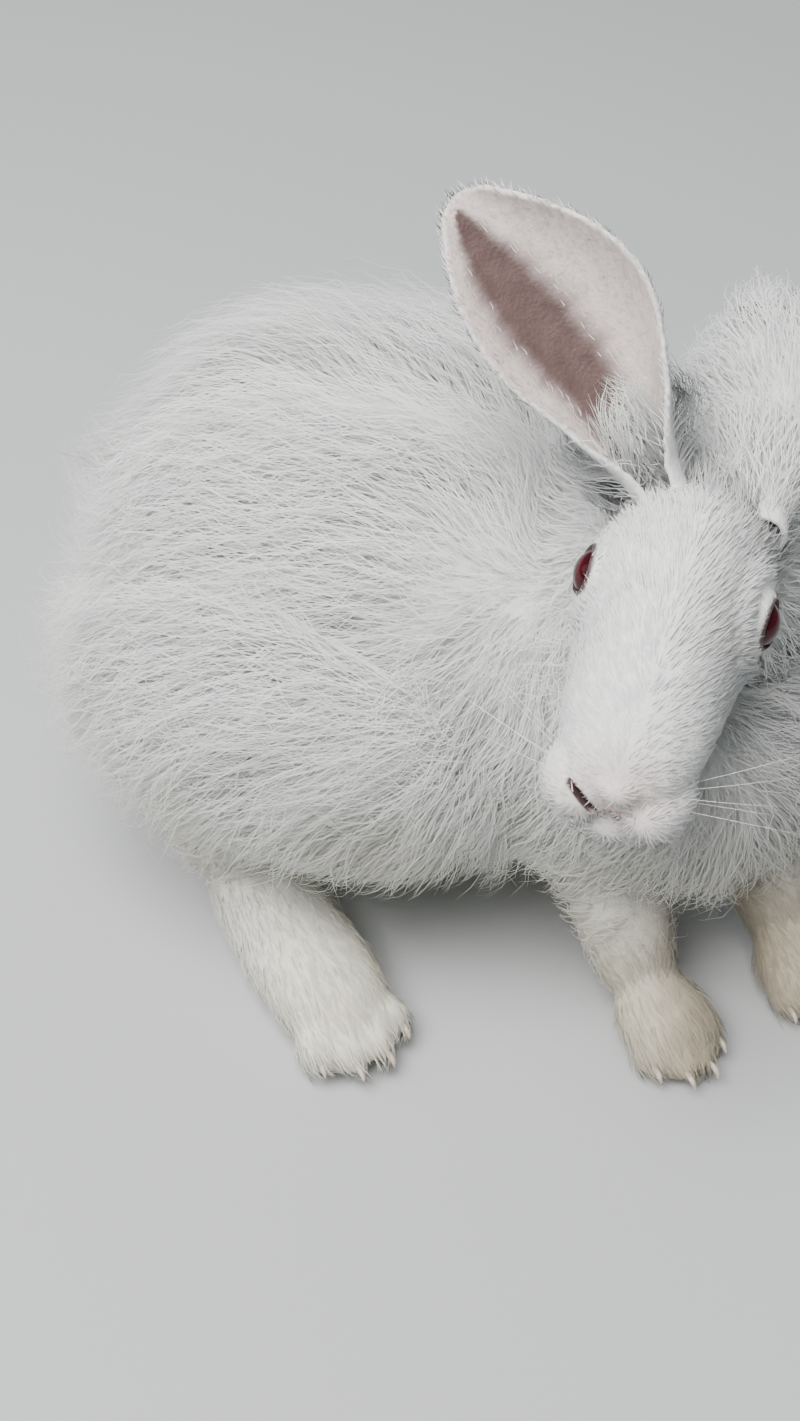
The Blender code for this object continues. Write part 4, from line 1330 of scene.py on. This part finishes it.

# %% [markdown]
# ## Bare and thinly furred skin
#
# The skin shows in the ears, on the nose and at the rims of the lids. A rabbit's ear is so thin
# that blood colours it pink. Down the middle of its cup runs a strip of bare skin, painted mauve
# brown as a painted shade of the cup, with pink beside it. The rims of the lids and the slits of
# the nostrils are painted near black, a painted shade of these openings. Elsewhere the skin lies
# under fur and takes the coat's own colours. Fine bump stands in for the shortest fur, whose
# hairs are thinner than any mesh could be.

# %% Skin
def make_skin_material():
    """Coat colours with pink on bare skin, painted shade of mauve brown in the ears' cups and near
    black at the lids' rims and in the nostrils, and a fine furry bump.
    """
    material, tree, shader = new_material("furred_skin_with_bare_pink", {
        "Roughness": 0.62, "Sheen Weight": 0.2})
    place = add(tree, "ShaderNodeTexCoord").outputs["Object"]
    blotch = add(tree, "ShaderNodeTexNoise", [("Vector", place)], scale=160, detail=4)
    # The mauve brown is a painted shade of an ear's cup, laid over its bare strip.
    pink, mauve = (ramp(add(tree, "ShaderNodeValToRGB", [(0, blotch)]), stops) for stops in (
        ((0.3, "C59A94"), (0.7, "DCBAB4")), ((0.3, "4C3836"), (0.7, "604A47"))))
    colour = markings(tree)
    # Pink is bare skin; the mauve brown in an ear's cup and the near black at the lids' rims and
    # nostrils' slits are painted shade.
    for label, tone in (("blush", pink), ("strip", mauve), ("lid_and_slit_shade", linear("3E2224"))):
        share = add(tree, "ShaderNodeAttribute", attribute_name=label).outputs["Fac"]
        colour = add(tree, "ShaderNodeMix", [("Factor", share), (6, colour), (7, tone)],
                     data_type="RGBA").outputs[2]
    tree.links.new(colour, shader.inputs["Base Color"])
    hairs = add(tree, "ShaderNodeTexNoise", [("Vector", place)], scale=900, detail=3)
    bump = add(tree, "ShaderNodeBump", [("Height", hairs)], strength=0.5, distance=0.0006)
    tree.links.new(bump.outputs[0], shader.inputs["Normal"])
    return material


skin.data.materials.clear()
skin.data.materials.append(make_skin_material())
print("skin material:", skin.data.materials[0].name)

# %% [markdown]
# ## Eyes, claws and whiskers
#
# An albino's eye has no pigment, so the blood behind it makes it ruby red. Its clear front
# bulges and is always wet. Claws are horn, curved and pale, and mostly hidden in fur. Whiskers
# are stiff single hairs that stand out from the lips.

# %% Eyes
EYE_FORWARD = 0.12
BULGE_ANGLE = 0.80
BULGE = 0.035


def make_eye(side):
    """Eyeball with a bulging clear front, and the distance from its axis as an attribute."""
    bm = bmesh.new()
    bmesh.ops.create_uvsphere(bm, u_segments=64, v_segments=48, radius=EYE_RADIUS - 0.0002)
    outward = Vector((EYE_FORWARD, side, 0.06)).normalized()
    turn = outward.to_track_quat("Z", "Y").to_matrix()
    angles = []
    for vert in bm.verts:
        angle = math.acos(max(-1, min(1, vert.co.z / vert.co.length)))
        bulge = max(0.0, 1 - (angle / BULGE_ANGLE) ** 2)
        angles.append(angle / math.pi)
        vert.co = EYE_MIDDLE + HOME + HEAD_POSE @ (
            eye_centre(side) + turn @ (vert.co * (1 + BULGE * bulge)))
    name = "eye_right_ball" if side < 0 else "eye_left_ball"
    mesh = mesh_from(bm, name)
    mesh.attributes.new("from_axis", "FLOAT", "POINT").data.foreach_set("value", angles)
    mesh.materials.append(eye_material)
    mesh.shade_smooth()
    return placed(name, mesh)


def make_eye_material():
    """Ruby iris round a dark pupil, under a wet clear front."""
    material, tree, shader = new_material("wet_ruby_eye", {"Roughness": 0.10, "IOR": 1.34})
    angle = add(tree, "ShaderNodeAttribute", attribute_name="from_axis").outputs["Fac"]
    place = add(tree, "ShaderNodeTexCoord").outputs["Object"]
    fibres = add(tree, "ShaderNodeTexNoise", [("Vector", place)], scale=900, detail=4)
    shift = add(tree, "ShaderNodeMapRange", [("Value", fibres)], to_min=-0.02, to_max=0.02)
    uneven = add(tree, "ShaderNodeMath", [(0, angle), (1, shift)], operation="ADD")
    rings = ramp(add(tree, "ShaderNodeValToRGB", [(0, uneven)]), (
        (0.0, "1C0207"), (0.085, "22030A"), (0.11, "480A17"), (0.22, "3A0812"),
        (0.30, "1E0308"), (0.37, "5A3536")))
    tree.links.new(rings.outputs[0], shader.inputs["Base Color"])
    return material


eye_material = make_eye_material()
eyes = [make_eye(side) for side in (-1, 1)]
print([thing.name for thing in eyes])


# %% Claws and whiskers
# A claw's run: steps forward and up from the tip of its toe.
CLAW_STEPS = ((-0.006, 0), (-0.002, 0.0004), (0.0006, -0.0006), (0.0016, -0.0030))
WHISKERS_EACH_SIDE = 5
WHISKER_STATIONS = 9
WHISKER_WIDTH = 0.00016


def claw_forms():
    """One curved claw at the tip of each toe."""
    forms = []
    feet = [(*foot, HIND_FOOT_SIZE) for foot in HIND_FEET]
    feet += [(*foreleg_points(side), FRONT_FOOT_SIZE) for side in (-1, 1)]
    for heel, toe, (width, depth) in feet:
        _, toe, forward, side = foot_frame(heel, toe)
        for place in TOE_PLACES:
            tip = toe_ends(toe, forward, side, width, place)[1] + UP * depth * 0.32
            run = smooth_run([tip + forward * ahead + UP * rise for ahead, rise in CLAW_STEPS], 7)
            size = (0, 0.0010, 0.0011, 0.0010, 0.0008, 0.0005, 0)
            forms.append(loft(run, size, size, sides=8, levels=1))
    return forms


def make_horn():
    """Pale horn, a little darker and browner in blotches."""
    material, tree, shader = new_material("pale_claw_horn", {"Roughness": 0.32})
    place = add(tree, "ShaderNodeTexCoord").outputs["Object"]
    grain = add(tree, "ShaderNodeTexNoise", [("Vector", place)], scale=500, detail=2)
    tone = ramp(add(tree, "ShaderNodeValToRGB", [(0, grain)]), ((0.3, "B9A695"), (0.7, "DCCFC2")))
    tree.links.new(tone.outputs[0], shader.inputs["Base Color"])
    return material


claws = joined("claws", claw_forms())
claws.data.materials.append(make_horn())
claws.data.shade_smooth()

paths, flat = [], []
for side in (-1, 1):
    for number in range(WHISKERS_EACH_SIDE):
        row, place = divmod(number, 3)
        start = Vector((0.0530 - 0.0040 * place, side * (0.0150 + 0.0022 * place),
                        -0.0245 - 0.0042 * row))
        out = Vector((-0.25 - 0.25 * place + rng.uniform(-0.2, 0.2), side,
                      0.10 - 0.30 * row + rng.uniform(-0.15, 0.15))).normalized()
        droop = Vector((-0.35, 0, -0.25 - 0.1 * row))
        reach = rng.uniform(0.030, 0.045)
        paths.append([in_head(start + (out + droop * share * 0.6) * reach * share)
                      for share in np.linspace(-0.05, 1, WHISKER_STATIONS)])
        near = np.argmin(far(places, in_head(start)))
        flat.append(flat_map[corners.ravel()[np.nonzero(triangles.ravel() == near)[0][0]]])
count = len(paths)
whiskers = tubes("whiskers", np.array(paths), np.tile(np.array(UP), (count, WHISKER_STATIONS, 1)),
                 np.full(count, WHISKER_WIDTH), np.array(flat), np.full(count, 1.0), fur_material)
print(len(claws.data.polygons), "faces of claws,", count, "whiskers")

# %% [markdown]
# ## Hide the solids and attach the pieces
#
# The skin takes the place of every solid of flesh and the wool of their woolly outsides. Each
# piece moves with the one body of the model.

# %% Hidden solids and sizes
FLESH = [name for name in frame["nodes"] if not name.startswith("eye")]
LEGS = [name for name in FLESH if "leg" in name]
WOOLLY = [name for name in FLESH if name in ("torso", "neck", "tail")
          or name.startswith("hindleg")]
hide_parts(*FLESH)
for thing in long_coats:
    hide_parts(*WOOLLY)
for thing, nodes in zip(short_coats, (["head"], ["ear_right", "ear_left"], LEGS)):
    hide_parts(*nodes)
for thing, side in zip(eyes, ("eye_right", "eye_left")):
    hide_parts(side)
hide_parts(*LEGS)
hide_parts("head")
pieces = [skin, *long_coats, *short_coats, *eyes, claws, whiskers]
for thing in pieces:
    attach(thing, "root")
    thing.data.calc_loop_triangles()
total = sum(len(thing.data.loop_triangles) for thing in pieces)
print(len(pieces), "pieces,", total, "triangles")
box = [[round(value, 4) for value in corner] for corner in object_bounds()]
print("box:", box)
